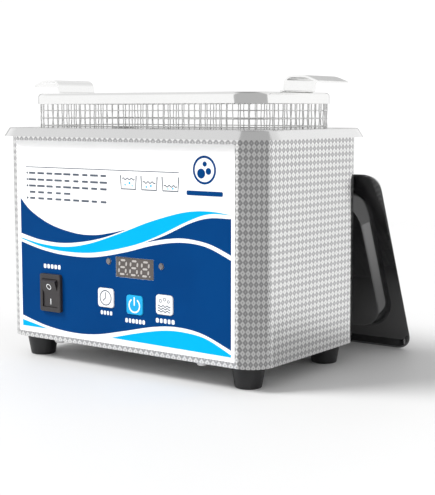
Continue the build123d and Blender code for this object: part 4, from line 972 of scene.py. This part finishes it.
def switch_signs():
    """A ring on the raised half of the rocker and a bar on its pressed half."""
    pivot = Vector(next(j["pos_m"] for j in frame["joints"] if j["name"] == "rocker_tilt"))
    ink = INKS["white"]
    crease, tilt = ROCKER_CREASE, ROCKER_TILT
    turn = Matrix.Translation(pivot) @ Matrix.Rotation(math.radians(tilt), 4, "X")
    to_crease = Matrix.Translation((0, -crease * MM, 0))
    upper = turn @ to_crease @ Matrix.Rotation(math.radians(tilt), 4, "X")
    lower = turn @ to_crease @ Matrix.Rotation(math.radians(-tilt), 4, "X")
    printed("rocker_ring", ring(0, 4.3, 1.75, 0.45), ink, "rocker", upper)
    printed("rocker_bar", [rounded_box(0, -4.4, 0.5, 3.3, 0.2)], ink, "rocker", lower)


# ---------------------------------------------------------------- making the whole
def lay_floor():
    """A wide bench top, with its upper face at the feet's undersides."""
    half = BENCH_HALF
    mesh = bpy.data.meshes.new("bench")
    corners = [(-half, -half, 0), (half, -half, 0), (half, half, 0), (-half, half, 0)]
    mesh.from_pydata(corners, [], [(0, 1, 2, 3)])
    mesh.materials.append(floor_finish())
    bench = bpy.data.objects.new("bench", mesh)
    bpy.context.scene.collection.objects.link(bench)


def stand_card(name, centre, turns, near, reach, height, level):
    """A grey card curved about a place, on the bench and upright, met by mirror-like reflections only."""
    points = []
    steps = CARD_STEPS
    for i in range(steps + 1):
        turn = math.radians(turns[0] + (turns[1] - turns[0]) * i / steps)
        out = Vector((math.cos(turn), math.sin(turn), 0.0))
        far = Vector(centre) + out * reach
        points += [Vector(centre) + out * near, far, far + Vector((0.0, 0.0, height))]
    faces = []
    for i in range(steps):
        a, b = 3 * i, 3 * i + 3
        faces.append((a, a + 1, b + 1, b))
        faces.append((a + 1, a + 2, b + 2, b + 1))
    mesh = bpy.data.meshes.new(name)
    mesh.from_pydata([tuple(point) for point in points], [], faces)
    card = Finish(name)
    mesh.materials.append(card.wear(
        Base_Color=(0.0, 0.0, 0.0), Roughness=1.0, Specular_IOR_Level=0.0,
        Emission_Color=(level, level, level), Emission_Strength=1.0))
    holder = bpy.data.objects.new(name, mesh)
    holder.visible_camera = False
    holder.visible_diffuse = False
    holder.visible_shadow = False
    bpy.context.scene.collection.objects.link(holder)


DRESSED = [
    "housing_shell", "bottom_plate", "bottom_plate_screws", "foot_screws", "foot_front_left",
    "foot_front_right", "foot_rear_left", "foot_rear_right", "tank", "tank_gasket", "front_overlay",
    "display_module", "led_left", "led_right", "button_time", "button_on_off", "button_degas",
    "switch_body", "switch_rocker", "mains_inlet", "inlet_screws", "basket_band",
    "basket_handle_left", "basket_handle_right", "lid_shell", "lid_handle", "lid_handle_screws",
]

place_camera()
white_room()
lay_floor()
stand_card("corner_card", **CORNER_CARD)
stand_card("back_card", **BACK_CARD)
high_lamp("front_left_lamp", **FRONT_LEFT_LAMP)
bpy.context.scene.view_settings.view_transform = "Standard"

for name, node in nodes.items():
    for holder in node.material_slots:
        holder.material = FINISHES[SLOT_OF[name]]
for name in DRESSED:
    dress(name)
woven_basket()
printed_waves()
mark_rows()
printed_pictures()
key_pictures()
display_digits()
switch_signs()
